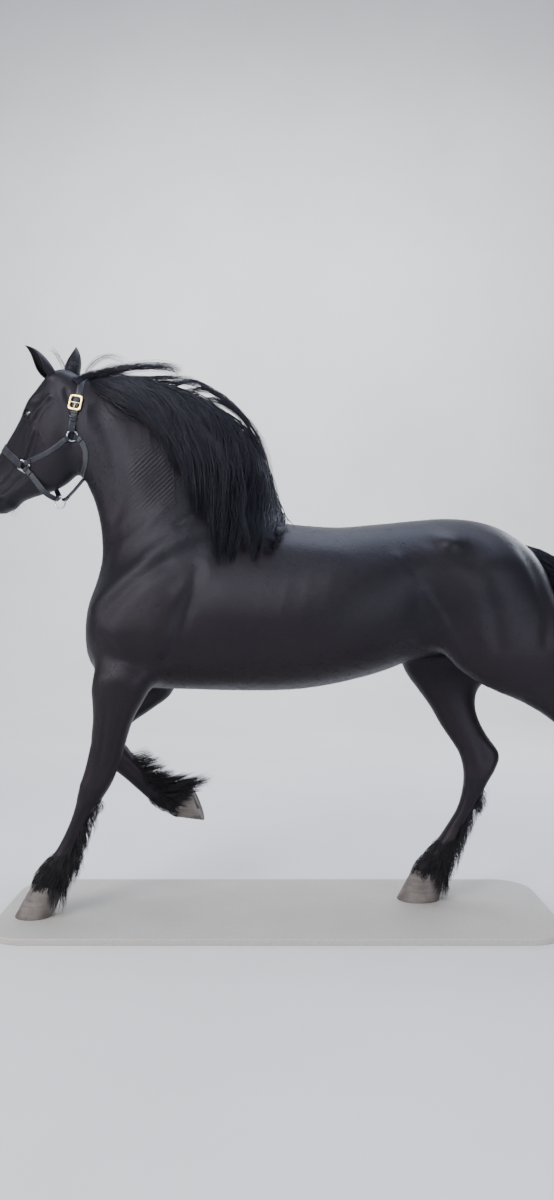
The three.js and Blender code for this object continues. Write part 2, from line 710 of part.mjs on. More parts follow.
// A leather band along a line of places, each with the way out of the skin there. Its ends are
// thicker where they fold round a bar.
function band(line, width, { foldStart = true, foldEnd = true } = {}) {
  const length = new THREE.CatmullRomCurve3(line.map(({ at }) => at)).getLength();
  const rings = line.map(({ at, out }, i) => {
    const tangent = line[Math.min(i + 1, line.length - 1)].at.clone().sub(line[Math.max(i - 1, 0)].at);
    const across = new THREE.Vector3().crossVectors(tangent, out).normalize();
    const up = new THREE.Vector3().crossVectors(across, tangent).normalize();
    const s = (i / (line.length - 1)) * length;
    const folded = (foldStart && s < LEATHER.fold) || (foldEnd && s > length - LEATHER.fold);
    const high = folded ? LEATHER.end : LEATHER.high;
    const spot = (side, height) =>
      at.clone().addScaledVector(across, (side * width) / 2).addScaledVector(up, height);
    return [spot(1, LEATHER.low), spot(1, high), spot(-1, high), spot(-1, LEATHER.low)];
  });
  return solid(loft(rings));
}

// The place on the flesh nearest to a point, and the way out of it.
function nearest(point, triangles) {
  const best = { far: Infinity };
  const place = new THREE.Vector3();
  for (const triangle of triangles) {
    triangle.closestPointToPoint(point, place);
    const far = place.distanceToSquared(point);
    if (far < best.far) {
      best.far = far;
      best.at = place.clone();
      best.out = triangle.getNormal(new THREE.Vector3());
    }
  }
  return best;
}

function trianglesOf(body) {
  const geometry = geometryOf(body).toNonIndexed();
  const { position } = geometry.attributes;
  const corner = (i) => new THREE.Vector3().fromBufferAttribute(position, i);
  const triangles = [];
  for (let i = 0; i < position.count; i += 3) {
    triangles.push(new THREE.Triangle(corner(i), corner(i + 1), corner(i + 2)));
  }
  return triangles;
}

// A line of places laid on the flesh through the places given, with its ways out evened.
function laidLine(places, triangles, step) {
  const curve = new THREE.CatmullRomCurve3(places);
  const count = 2 * Math.max(2, Math.round(curve.getLength() / (2 * step)));
  const line = curve.getSpacedPoints(count).map((point) => nearest(point, triangles));
  return line.map(({ at }, i) => {
    const out = new THREE.Vector3();
    for (const near of line.slice(Math.max(i - 1, 0), i + 2)) {
      out.add(near.out);
    }
    return { at, out: out.normalize() };
  });
}

function hungLine(places, out, step) {
  const curve = new THREE.CatmullRomCurve3(places);
  const count = Math.max(4, Math.round(curve.getLength() / step));
  return curve.getSpacedPoints(count).map((at) => ({ at, out: out(at) }));
}

const mirrored = ([along, below, out], side) => headSpot(along, below, side * out);
const places = (list, side) => list.map((spot) => mirrored(spot, side));

// The basis of a flat fitting that lies on the flesh: its middle, its long way and the way out.
function seat(place, side, triangles, lift) {
  const { at, out } = nearest(mirrored(place, side), triangles);
  return { middle: at.clone().addScaledVector(out, lift), out };
}

function torus({ radius, bar }, middle, out) {
  const geometry = new THREE.TorusGeometry(radius, bar, 5, RING_STEPS);
  geometry.applyQuaternion(new THREE.Quaternion().setFromUnitVectors(new THREE.Vector3(0, 0, 1), out));
  return solid(geometry.translate(middle.x, middle.y, middle.z));
}

function disc(radius, PathClass = THREE.Shape) {
  return new PathClass().absarc(0, 0, radius, 0, 2 * Math.PI);
}

// The room that a ring takes in the leather folded round it.
function ringShape({ radius, bar }) {
  const flat = Math.cos(Math.PI / RING_STEPS);
  const shape = disc((radius + bar) / flat + GAP);
  shape.holes.push(disc((radius - bar) * flat - GAP, THREE.Path));
  return shape;
}

function roundedBox(long, wide, corner, PathClass = THREE.Shape) {
  const [x, y] = [long / 2, wide / 2];
  const outline = new PathClass();
  outline.moveTo(corner - x, -y);
  outline.lineTo(x - corner, -y);
  outline.absarc(x - corner, corner - y, corner, -Math.PI / 2, 0);
  outline.lineTo(x, y - corner);
  outline.absarc(x - corner, y - corner, corner, 0, Math.PI / 2);
  outline.lineTo(corner - x, y);
  outline.absarc(corner - x, y - corner, corner, Math.PI / 2, Math.PI);
  outline.lineTo(-x, corner - y);
  outline.absarc(corner - x, corner - y, corner, Math.PI, 1.5 * Math.PI);
  return outline;
}

function frameShape(long, wide, corner, holeLong, holeWide) {
  const shape = roundedBox(long, wide, corner);
  shape.holes.push(roundedBox(holeLong, holeWide, corner / 2, THREE.Path));
  return shape;
}

// Every part of the headcollar by name, clear of the flesh and of each other.
function headcollar(body, surface) {
  const triangles = trianglesOf(body);
  const parts = {};
  const openings = {};
  const rooms = {};
  const line = headDirection(1, 0, 0);
  for (const [name, side] of Object.entries(SIDES)) {
    const ring = seat(HALTER.ring, side, triangles, RING.lift);
    const square = seat(HALTER.square, side, triangles, SQUARE.lift);
    const squareShape = frameShape(SQUARE.side, SQUARE.side, SQUARE.corner, SQUARE.hole, SQUARE.hole);
    const [roomSide, roomHole] = [SQUARE.side + 2 * GAP, SQUARE.hole - 2 * GAP];
    const squareRoom = frameShape(roomSide, roomSide, SQUARE.corner, roomHole, roomHole);
    const thick = 2 * (RING.bar + GAP);
    parts[`ring_${name}`] = torus(RING, ring.middle, ring.out);
    rooms[`ring_${name}`] = prism(ringShape(RING), thick, ring.middle, line, ring.out, HOLE_STEPS);
    parts[`square_${name}`] = prism(squareShape, SQUARE.thick, square.middle, line, square.out, 1);
    rooms[`square_${name}`] = prism(squareRoom, SQUARE.thick + 2 * GAP, square.middle, line, square.out, 1);
    const hole = disc(RING.opening);
    openings[`ring_${name}`] = prism(hole, 3 * LEATHER.end, ring.middle, line, ring.out, HOLE_STEPS);
    openings[`square_${name}`] = prism(
      roundedBox(SQUARE.hole - 2, SQUARE.hole - 2, 2),
      3 * LEATHER.end,
      square.middle,
      line,
      square.out,
      1,
    );
  }
  const chinMiddle = mirrored(HALTER.chinRing, SIDES.right);
  parts.chin_ring = torus(CHIN_RING, chinMiddle, headDirection(0, 0, 1));
  const across = headDirection(0, 0, 1);
  const chinThick = 2 * (CHIN_RING.bar + GAP);
  rooms.chin_ring = prism(ringShape(CHIN_RING), chinThick, chinMiddle, line, across, HOLE_STEPS);
  openings.chin_ring = prism(disc(CHIN_RING.opening), BAND.chin * 2, chinMiddle, line, across, HOLE_STEPS);

  const bothWays = (list) => [...places(list, SIDES.left).reverse(), ...places(list, SIDES.right).slice(1)];
  const ends = (first, inner, last) => [mirrored(first, SIDES.left), ...inner, mirrored(last, SIDES.right)];
  const below = (at) => at.clone().sub(headSpot(400, 150, 0)).normalize();
  const round = (first, list, last) => ends(first, bothWays(list), last);
  const onFlesh = (list, step) => laidLine(list, triangles, step);
  const bands = {
    crown: band(onFlesh(round(HALTER.ring, HALTER.crown, HALTER.ring), STEP.crown), BAND.crown),
    noseband: band(onFlesh(round(HALTER.square, HALTER.nose, HALTER.square), STEP.nose), BAND.nose),
    throat: band(onFlesh(round(HALTER.ring, HALTER.throat, HALTER.ring), STEP.throat), BAND.throat),
    chin: band(hungLine(round(HALTER.square, HALTER.chin, HALTER.square), below, STEP.chin), BAND.chin),
  };
  const jaw = [chinMiddle, ...places(HALTER.jaw, SIDES.right)];
  bands.jaw = band(hungLine(jaw, below, STEP.jaw), BAND.jaw, { foldEnd: false });
  for (const [name, side] of Object.entries(SIDES)) {
    const cheek = places([HALTER.ring, ...HALTER.cheek, HALTER.square], side);
    bands[`cheek_${name}`] = band(laidLine(cheek, triangles, STEP.cheek), BAND.cheek);
  }
  for (const along of HALTER.keepers) {
    const from = mirrored([along - 5, 238, 70], SIDES.left);
    const to = mirrored([along + 5, 243, 70], SIDES.left);
    const loop = laidLine([from, to], triangles, STEP.nose);
    const wide = BAND.crown + 2 * LEATHER.keeper;
    bands.crown = bands.crown.add(band(loop.slice(1, -1), wide, { foldStart: false }));
  }
  const buckle = seat(HALTER.buckle, SIDES.left, triangles, LEATHER.high + GAP + BUCKLE.thick / 2 + 1);
  const buckleWay = mirrored(HALTER.crown[4], SIDES.left).sub(mirrored(HALTER.crown[2], SIDES.left));
  const { long, wide, openLong, openWide, corner } = BUCKLE;
  const frame = frameShape(long, wide, corner, openLong, openWide);
  const prong = roundedBox(openLong + BUCKLE.prong, BUCKLE.prong, 1);
  const room = roundedBox(long + 2 * GAP, wide + 2 * GAP, corner);
  parts.buckle = prism(frame, BUCKLE.thick, buckle.middle, buckleWay, buckle.out, 2);
  parts.buckle = parts.buckle.add(prism(prong, BUCKLE.prong, buckle.middle, buckleWay, buckle.out, 1));
  rooms.buckle = prism(room, BUCKLE.thick + 2 * GAP, buckle.middle, buckleWay, buckle.out, 2);

  for (const [name, opening] of Object.entries(openings)) {
    for (const key of Object.keys(bands)) {
      const [fitting, side] = name.split("_");
      const reaches = fitting === "chin" ? key === "jaw" : key.endsWith(side) || !/left|right/.test(key);
      bands[key] = reaches ? bands[key].subtract(opening) : bands[key];
    }
  }
  for (const [key, body] of Object.entries(parts)) {
    parts[key] = largest(body.subtract(surface));
  }
  const laid = [];
  for (const [key, leather] of Object.entries(bands)) {
    let clear = leather.subtract(surface);
    for (const room of Object.values(rooms)) {
      clear = largest(clear.subtract(room));
    }
    for (const other of laid) {
      clear = largest(clear.subtract(other));
    }
    laid.push(leather.add(swollen(leather, HAIR_GAP)));
    parts[key] = clear;
  }
  return parts;
}

// A flat lock along a path, from its root in the skin to a thin tip, with the way out at each point.
function lock(path, outward, width, thickness, taper = 2.4) {
  const last = path.length - 1;
  const rings = path.map((point, i) => {
    const tangent = path[Math.min(i + 1, last)].clone().sub(path[Math.max(i - 1, 0)]);
    const across = new THREE.Vector3().crossVectors(tangent, outward[i]).normalize();
    const out = new THREE.Vector3().crossVectors(across, tangent).normalize();
    const s = i / last;
    const full = Math.max(1 - s ** taper, LOCK_TIP) * (0.62 + 0.38 * Math.min(1, 3 * s));
    const wide = (width / 2) * full;
    const thick = (thickness / 2) * Math.max(1 - s ** 3, LOCK_TIP);
    return [
      point.clone().addScaledVector(across, wide),
      point.clone().addScaledVector(out, thick),
      point.clone().addScaledVector(across, -wide),
      point.clone().addScaledVector(out, -thick),
    ];
  });
  return solid(loft(rings));
}

// Seeded draws, the same each time.
let seed = 7;
function draw(size) {
  seed = (seed * 16807) % 2147483647;
  return size * ((2 * seed) / 2147483647 - 1);
}

// The locks of a feather, rooted round the rear of the leg and hanging past the coronet.
function featherLocks({ flesh, hoof, hang }) {
  const { rows, counts, reach, long, width, thick, lift, down, clear } = FEATHER_LOCK;
  const horn = trianglesOf(skin(form(hoof), FINENESS.hoof));
  const leg = form(flesh);
  const fall = new THREE.Vector3(...hang).normalize();
  const locks = [];
  rows.forEach((t, row) => {
    for (let i = 0; i < counts[row]; i++) {
      const turn = Math.PI + reach[row] * (i / (counts[row] - 1) - 0.5) + draw(0.12);
      const root = skinPoint(leg, t, turn, -thick / 2);
      const bend = skinPoint(leg, t + down, turn, lift / 2);
      const out = bend.clone().sub(skinPoint(leg, t + down, turn, 0)).normalize();
      const length = long[row] + draw(10);
      const low = skinPoint(leg, t + 2 * down, turn, lift + draw(4)).addScaledVector(fall, length / 4);
      const tip = low.clone().addScaledVector(fall, length).addScaledVector(out, draw(6));
      for (const point of [low, tip]) {
        point.z = Math.max(point.z, clear + draw(3));
        const near = nearest(point, horn);
        const far = point.clone().sub(near.at).dot(near.out);
        point.addScaledVector(near.out, Math.max(clear - far, 0));
      }
      const path = new THREE.CatmullRomCurve3([root, bend, low, tip]).getPoints(3);
      locks.push(lock(path, path.map(() => out), width + draw(6), thick, 4));
    }
  });
  return locks;
}

// The locks of the mane in layers, each laid outside the flesh on the left side.
function maneLocks(body) {
  const surface = new THREE.Mesh(geometryOf(body), COAT);
  const ray = new THREE.Raycaster();
  const { thick, steps, spread, turn } = MANE_LOCK;
  const toLeft = new THREE.Vector3(0, -1, 0.15);
  const locks = [];
  for (const { lift, rootY, count, width, from } of MANE_LAYERS) {
    for (let i = 0; i < count; i++) {
      const row = sizesAt(MANE_LINES, from + ((1 - from) * (i + draw(0.2))) / (count - 1));
      const stray = [0, draw(0.2 * spread), draw(0.4 * spread), draw(0.7 * spread), draw(spread)];
      const spots = stray.map((far, k) => new THREE.Vector3(row[2 * k] + far, rootY, row[2 * k + 1] - far));
      const path = new THREE.CatmullRomCurve3(spots).getPoints(steps);
      path.forEach((point, j) => {
        ray.set(new THREE.Vector3(point.x, -BASE.width, point.z), new THREE.Vector3(0, 1, 0));
        const hit = j > 0 && ray.intersectObject(surface)[0];
        point.y = hit ? Math.min(hit.point.y - lift, point.y) : rootY - lift * turn[j];
      });
      locks.push(lock(path, path.map(() => toLeft), width + draw(8), thick));
    }
  }
  return locks;
}

// The locks of the tail, rooted round the dock and lying along the mass of the hair.
function tailLocks() {
  const mass = form(TAIL);
  const { thick, steps, spread, first } = TAIL_LOCK;
  const locks = [];
  for (const { root, tip, sink, count, width } of TAIL_LAYERS) {
    for (let i = 0; i < count; i++) {
      const turn = (2 * Math.PI * (i + draw(0.2))) / count;
      const drift = draw(spread * 2);
      const start = first + (root - first) * (0.5 + draw(0.3));
      const end = tip - Math.abs(draw(spread / 2));
      const path = [skinPoint(dockForm, 0.55 + 0.3 * root, turn, -thick)];
      const outward = [];
      for (let j = 1; j <= steps; j++) {
        const t = start + ((end - start) * j) / steps;
        path.push(skinPoint(mass, t, turn + (drift * j) / steps, -sink * Math.min(1, j / 2)));
      }
      path.forEach((point, j) => {
        const t = start + ((end - start) * Math.max(j, 1)) / steps;
        const middle = skinPoint(mass, t, turn, 0).lerp(skinPoint(mass, t, turn + Math.PI, 0), 0.5);
        outward.push(point.clone().sub(middle).normalize());
      });
      locks.push(lock(path, outward, width + draw(8), thick));
    }
  }
  return locks;
}

// The forelock, from between the ears down the forehead.
function forelock() {
  const locks = [];
  const { count, width, thick, spread } = FORELOCK;
  for (let i = 0; i < count; i++) {
    const side = 2 * (i / (count - 1)) - 1;
    const spots = [
      headSpot(-6, 34, side * spread),
      headSpot(6 + draw(4), 2, side * spread * 1.4),
      headSpot(52 + draw(8), -10 + draw(4), side * spread * 2 + draw(4)),
      headSpot(96 + draw(16), -9 + draw(3), side * spread * 2.2 + draw(8)),
      headSpot(142 + draw(22), -5 + draw(4), side * spread * 1.6 + draw(10)),
    ];
    locks.push(lock(spots, spots.map(() => headDirection(-0.2, -1, 0.3 * side)), width, thick));
  }
  return locks;
}

const group = new THREE.Group();
const horse = new THREE.Group();
horse.position.z = GROUND;
group.add(horse);

function add(parent, name, body, material) {
  const mesh = new THREE.Mesh(geometryOf(body), material);
  mesh.name = name;
  parent.add(mesh);
}

let flesh = join([
  skin(torsoForm, FINENESS.torso),
  skin(neckForm, FINENESS.neck),
  skin(headForm, FINENESS.head),
  skin(dockForm, FINENESS.dock),
  ...Object.values(LEGS).map((leg) => skin(form(leg.flesh), FINENESS.leg)),
  ...Object.values(LEGS).map((leg) => skin(form(leg.hoof), FINENESS.hoof)),
]);
const bare = flesh;
flesh = join([
  flesh,
  ...Object.values(SIDES).map((side) => lids(side)),
  ...Object.values(SIDES).map((side) => ear(earOf(side))),
]);
for (const side of Object.values(SIDES)) {
  flesh = flesh.subtract(lidOpening(side)).subtract(ball(eyeSpot(side), EYE.radius + GAP));
  flesh = flesh.subtract(nostril(side));
}
flesh = flesh.subtract(mouthGroove());

const nodes = {};
for (const [name, leg] of Object.entries(LEGS)) {
  const hoofPlane = planeOf(leg.flesh, leg.flesh.length - 1);
  [nodes[`${name}_hoof`], flesh] = part(flesh, { ...hoofPlane, size: CELL.hoof });
  [nodes[`${name}_lower`], flesh] = part(flesh, { ...planeOf(leg.flesh, leg.joint), size: CELL.lower });
  [nodes[`${name}_upper`], flesh] = part(flesh, { ...planeOf(leg.flesh, leg.top), size: CELL.upper });
}
for (const [name, side] of Object.entries(SIDES)) {
  const { at, up } = earOf(side);
  const root = at.clone().addScaledVector(up.clone().normalize(), EAR.root);
  [nodes[`ear_${name}`], flesh] = part(flesh, { at: root.toArray(), out: up.toArray(), size: CELL.ear });
}
[nodes.head, flesh] = part(flesh, CUT.head);
[nodes.neck, flesh] = part(flesh, CUT.neck);
[nodes.tail, nodes.torso] = part(flesh, CUT.tail);

const collar = headcollar(bare, swollen(bare, GAP));
for (const [name, body] of Object.entries(collar)) {
  const metal = /ring|square/.test(name) ? STEEL : STRAP;
  add(horse, `halter_${name}`, body, name === "buckle" ? BRASS : metal);
}

// The hair joins the flesh it grows from and stays clear of the nodes beside it. A lock that a cut
// parts from its root is left out.
function withHair(node, locks, others) {
  let whole = node;
  for (const hair of locks) {
    let clear = hair;
    for (const other of others) {
      clear = clear.subtract(other);
    }
    whole = whole.add(clear.isEmpty() ? clear : largest(clear));
  }
  return largest(whole);
}

for (const [name, leg] of Object.entries(LEGS)) {
  const hoof = swollen(nodes[`${name}_hoof`], HAIR_GAP);
  nodes[`${name}_lower`] = withHair(nodes[`${name}_lower`], featherLocks(leg), [hoof]);
}
const tailCore = skin(form(TAIL.slice(0, TAIL_LOCK.core)), FINENESS.tail, -TAIL_LOCK.shrink);
nodes.tail = withHair(nodes.tail, [tailCore, ...tailLocks()], [cell(CUT.rump, HAIR_GAP - GAP)]);
const beside = [cell(CUT.head, HAIR_GAP), swollen(nodes.torso, HAIR_GAP), swollen(collar.crown, HAIR_GAP)];
nodes.neck = withHair(nodes.neck, maneLocks(bare), beside);
nodes.head = withHair(nodes.head, forelock(), [swollen(nodes.ear_left, GAP), swollen(nodes.ear_right, GAP)]);

for (const [name, body] of Object.entries(nodes)) {
  add(horse, name, body, name.endsWith("hoof") ? HORN : COAT);
}
for (const [name, side] of Object.entries(SIDES)) {
  add(horse, `eye_${name}`, ball(eyeSpot(side), EYE.radius), EYEBALL);
}

// The base: a plate with rounded corners and a small chamfer round its top.
function plateOutline(inset, z) {
  const [halfLong, halfWide] = [BASE.length / 2 - inset, BASE.width / 2 - inset];
  const radius = BASE.corner - inset;
  const points = [];
  for (const [sx, sy, start] of [[1, 1, 0], [-1, 1, 90], [-1, -1, 180], [1, -1, 270]]) {
    for (let i = 0; i <= BASE.cornerSteps; i++) {
      const angle = radians(start + (90 * i) / BASE.cornerSteps);
      const x = sx * (halfLong - radius) + radius * Math.cos(angle);
      const y = sy * (halfWide - radius) + radius * Math.sin(angle);
      points.push(new THREE.Vector3(x, y, z));
    }
  }
  return points;
}

const plate = loft([
  plateOutline(0, 0),
  plateOutline(0, BASE.height - BASE.chamfer),
  plateOutline(BASE.chamfer, BASE.height),
]);
add(group, "stand_base", solid(plate), STAND);

export default group;
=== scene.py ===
# The looks of a life-size black Friesian stallion at the trot: one skin for all its flesh, its mane,
# forelock, tail and feathers in strands, its eyes, hooves, headcollar and base, and the studio.
# Sizes are in millimetres above the top of the base until a mesh is made.

import math

import bmesh
import bpy
import numpy as np
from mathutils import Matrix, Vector
from mathutils.bvhtree import BVHTree
from mathutils.kdtree import KDTree


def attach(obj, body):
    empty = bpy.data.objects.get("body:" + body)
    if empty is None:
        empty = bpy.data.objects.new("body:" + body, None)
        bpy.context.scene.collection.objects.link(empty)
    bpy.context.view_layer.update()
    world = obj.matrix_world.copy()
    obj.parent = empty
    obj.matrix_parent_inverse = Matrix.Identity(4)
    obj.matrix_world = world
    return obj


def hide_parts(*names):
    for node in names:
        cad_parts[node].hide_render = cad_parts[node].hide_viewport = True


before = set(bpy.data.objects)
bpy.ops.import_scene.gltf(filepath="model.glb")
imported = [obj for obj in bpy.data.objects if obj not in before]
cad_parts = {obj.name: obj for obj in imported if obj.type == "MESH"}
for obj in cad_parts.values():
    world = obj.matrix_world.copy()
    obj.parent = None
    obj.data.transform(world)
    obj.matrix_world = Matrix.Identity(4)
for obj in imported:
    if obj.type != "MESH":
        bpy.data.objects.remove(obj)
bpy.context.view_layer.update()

MM = 0.001
GROUND = 24.3
rng = np.random.default_rng(11)

HEAD = {"x": -897.0, "z": 2168.0, "slope": math.radians(54.6), "yaw": math.radians(-24), "pivot": -800.0}
EYE = {"along": 203, "below": 66, "out": 83, "radius": 22, "lid": 4.6, "long": 46, "up": 15, "low": 11}
NOSTRIL = {"along": 590, "below": 20, "out": 56, "long": 46, "wide": 24, "depth": 26}
EAR = {"along": 40, "below": 60, "out": 52, "length": 168, "width": 64}
SIDES = {"left": -1, "right": 1}

# Stations down each form: front or upper edge (x, z), rear or lower edge (x, z), middle plane y,
# half width, place of the widest, and the roundness of the front and rear halves.
TORSO = [
    [-752, 1140, -752, 1055, 0, 40, 0, 2, 2],
    [-745, 1205, -742, 985, 0, 120, 0, 2.1, 2],
    [-712, 1290, -706, 930, 0, 188, 0, 2.2, 2],
    [-630, 1392, -636, 890, 0, 228, 0, 2.3, 2],
    [-505, 1480, -520, 873, 0, 250, -0.05, 2.2, 2.1],
    [-335, 1538, -350, 868, 0, 266, -0.1, 1.9, 2.2],
    [-130, 1560, -140, 863, 0, 290, -0.15, 1.7, 2.2],
    [60, 1530, 60, 867, 0, 316, -0.15, 1.85, 2.2],
    [230, 1515, 230, 891, 0, 327, -0.1, 2.1, 2.2],
    [400, 1527, 400, 934, 0, 312, -0.02, 2.2, 2.2],
    [540, 1541, 540, 985, 0, 290, 0.1, 2.1, 2.2],
    [680, 1549, 680, 1010, 0, 286, 0.15, 2.05, 2.2],
    [810, 1533, 810, 1005, 0, 282, 0.1, 2.1, 2.2],
    [920, 1488, 920, 1010, 0, 262, 0.05, 2.1, 2.2],
    [1010, 1412, 1005, 1025, 0, 222, 0, 2.1, 2.1],
    [1068, 1318, 1060, 1050, 0, 165, 0, 2, 2],
    [1100, 1235, 1092, 1100, 0, 85, 0, 2, 2],
]
NECK = [
    [-806, 2112, -862, 1835, 0, 66, 0, 1.9, 2],
    [-748, 2126, -800, 1742, 0, 80, -0.1, 1.8, 2.1],
    [-636, 2098, -742, 1650, 0, 90, -0.15, 1.7, 2.2],
    [-498, 2056, -712, 1558, 0, 102, -0.2, 1.6, 2.2],
    [-366, 1990, -698, 1465, 0, 120, -0.2, 1.55, 2.2],
    [-252, 1888, -700, 1372, 0, 144, -0.2, 1.55, 2.2],
    [-166, 1775, -722, 1285, 0, 172, -0.2, 1.6, 2.2],
    [-100, 1668, -746, 1190, 0, 200, -0.15, 1.7, 2.2],
    [-40, 1590, -752, 1100, 0, 220, -0.1, 1.8, 2.2],
    [60, 1490, -640, 1000, 0, 205, 0, 2, 2.2],
]
# Rows of the head: along the face, depth of the face and of the jaw below the line of the face.
SKULL = [
    [-18, 48, 150, 46, 0.1, 2.1, 2],
    [18, 14, 205, 74, 0.25, 2.3, 2],
    [70, 4, 248, 90, 0.35, 2.5, 2],
    [130, 0, 280, 97, 0.38, 2.6, 2.1],
    [195, -4, 306, 98, 0.4, 2.7, 2.2],
    [255, -7, 330, 90, 0.35, 2.7, 2.3],
    [315, -15, 334, 80, 0.3, 2.6, 2.3],
    [375, -25, 308, 70, 0.2, 2.5, 2.3],
    [435, -34, 266, 60, 0.1, 2.4, 2.3],
    [490, -40, 214, 55, 0, 2.4, 2.3],
    [540, -43, 172, 57, 0.1, 2.4, 2.3],
    [585, -40, 150, 61, 0.15, 2.4, 2.3],
    [618, -26, 132, 56, 0.1, 2.3, 2.2],
    [640, -2, 118, 44, 0.1, 2.2, 2],
    [650, 30, 96, 22, 0, 2, 2],
]
FORE_LEFT = [
    [-672, 1060, -450, 1050, -118, 66],
    [-704, 960, -452, 930, -158, 88],
    [-711, 880, -500, 850, -158, 82],
    [-707, 795, -545, 775, -154, 70],
    [-713, 700, -574, 692, -146, 60],
    [-728, 630, -594, 622, -138, 53],
    [-745, 565, -612, 572, -130, 52],
    [-764, 505, -638, 512, -124, 56],
    [-778, 445, -672, 458, -118, 49],
    [-796, 385, -712, 402, -114, 38],
    [-826, 315, -742, 330, -108, 35],
    [-862, 250, -772, 262, -104, 39],
    [-902, 205, -794, 202, -101, 46],
    [-936, 160, -832, 142, -100, 43],
    [-949, 118, -838, 92, -100, 53],
]
FORE_RIGHT = [
    [-672, 1060, -420, 1040, 118, 66],
    [-713, 965, -405, 905, 158, 88],
    [-733, 890, -440, 830, 158, 82],
    [-750, 815, -520, 768, 155, 70],
    [-764, 740, -600, 712, 150, 60],
    [-772, 680, -638, 662, 146, 54],
    [-772, 625, -648, 644, 142, 54],
    [-752, 580, -640, 636, 138, 56],
    [-714, 546, -622, 622, 134, 51],
    [-668, 514, -598, 590, 131, 43],
    [-622, 478, -560, 545, 128, 37],
    [-576, 438, -518, 504, 126, 35],
    [-536, 404, -474, 474, 124, 39],
    [-496, 374, -428, 460, 122, 46],
    [-452, 352, -398, 446, 121, 43],
    [-409, 332, -382, 447, 120, 53],
]
HIND_RIGHT = [
    [500, 1255, 1000, 1300, 140, 112],
    [486, 1120, 1062, 1165, 160, 122],
    [497, 1010, 1015, 1025, 168, 114],
    [538, 918, 935, 930, 165, 98],
    [587, 850, 848, 868, 156, 80],
    [632, 785, 824, 802, 145, 65],
    [676, 706, 836, 733, 135, 54],
    [713, 650, 868, 668, 125, 48],
    [749, 590, 918, 592, 118, 50],
    [765, 520, 902, 530, 112, 49],
    [762, 455, 866, 470, 108, 44],
    [740, 372, 832, 400, 105, 38],
    [697, 300, 791, 326, 102, 37],
    [652, 235, 751, 247, 100, 41],
    [615, 190, 726, 186, 100, 48],
    [578, 150, 690, 128, 100, 45],
    [555, 108, 680, 85, 100, 55],
]
HIND_LEFT = [
    [540, 1255, 1020, 1300, -140, 112],
    [575, 1130, 1096, 1185, -160, 122],
    [640, 1010, 1122, 1065, -168, 114],
    [740, 925, 1124, 985, -166, 98],
    [835, 876, 1128, 925, -158, 80],
    [930, 836, 1136, 878, -151, 65],
    [1020, 784, 1158, 842, -146, 55],
    [1082, 734, 1200, 815, -142, 48],
    [1126, 690, 1254, 772, -138, 50],
    [1166, 640, 1276, 705, -136, 49],
    [1200, 594, 1294, 640, -135, 44],
    [1240, 543, 1324, 580, -134, 38],
    [1283, 490, 1366, 526, -133, 37],
    [1322, 440, 1408, 482, -132, 41],
    [1346, 394, 1444, 446, -132, 48],
    [1362, 352, 1468, 402, -132, 45],
    [1368, 312, 1486, 352, -132, 55],
]
# The legs: flesh, hoof and the way that the feather hangs.
LEGS = {
    "fore_left": {
        "flesh": FORE_LEFT,
        "hoof": [
            [-944, 132, -836, 108, -100, 50],
            [-953, 114, -838, 88, -100, 56],
            [-976, 74, -850, 52, -100, 62],
            [-998, 34, -862, 24, -100, 67],
            [-1016, 0, -874, 0, -100, 70],
        ],
        "hang": (-0.4, 0, -0.92),
    },
    "fore_right": {
        "flesh": FORE_RIGHT,
        "hoof": [
            [-426, 336, -396, 444, 120, 50],
            [-404, 330, -378, 450, 120, 56],
            [-366, 325, -368, 448, 120, 62],
            [-332, 321, -358, 444, 120, 66],
            [-300, 318, -350, 441, 120, 69],
        ],
        "hang": (0.88, 0, 0.3),
    },
    "hind_left": {
        "flesh": HIND_LEFT,
        "hoof": [
            [1364, 328, 1478, 370, -132, 52],
            [1369, 308, 1488, 348, -132, 58],
            [1378, 274, 1494, 336, -132, 62],
            [1388, 240, 1498, 325, -132, 66],
            [1397, 207, 1502, 312, -132, 68],
        ],
        "hang": (0.2, 0, -0.98),
    },
    "hind_right": {
        "flesh": HIND_RIGHT,
        "hoof": [
            [561, 124, 684, 100, 100, 52],
            [550, 104, 683, 80, 100, 58],
            [530, 68, 676, 48, 100, 63],
            [511, 32, 670, 22, 100, 67],
            [493, 0, 664, 0, 100, 70],
        ],
        "hang": (-0.36, 0, -0.93),
    },
}
DOCK = [
    [940, 1470, 960, 1370, 0, 52],
    [1010, 1440, 1000, 1350, 0, 48],
    [1085, 1400, 1050, 1325, 4, 42],
    [1150, 1340, 1105, 1280, 10, 34],
    [1195, 1260, 1150, 1225, 18, 26],
]
TAIL = [
    [985, 1474, 965, 1380, 0, 50],
    [1085, 1440, 1060, 1325, 2, 62],
    [1195, 1368, 1136, 1240, 10, 78],
    [1300, 1230, 1180, 1120, 22, 92],
    [1385, 1050, 1245, 960, 36, 100],
    [1450, 850, 1300, 780, 50, 100],
    [1495, 640, 1345, 590, 60, 92],
    [1520, 430, 1385, 400, 68, 74],
    [1520, 260, 1425, 250, 74, 46],
    [1508, 170, 1470, 165, 76, 14],
]
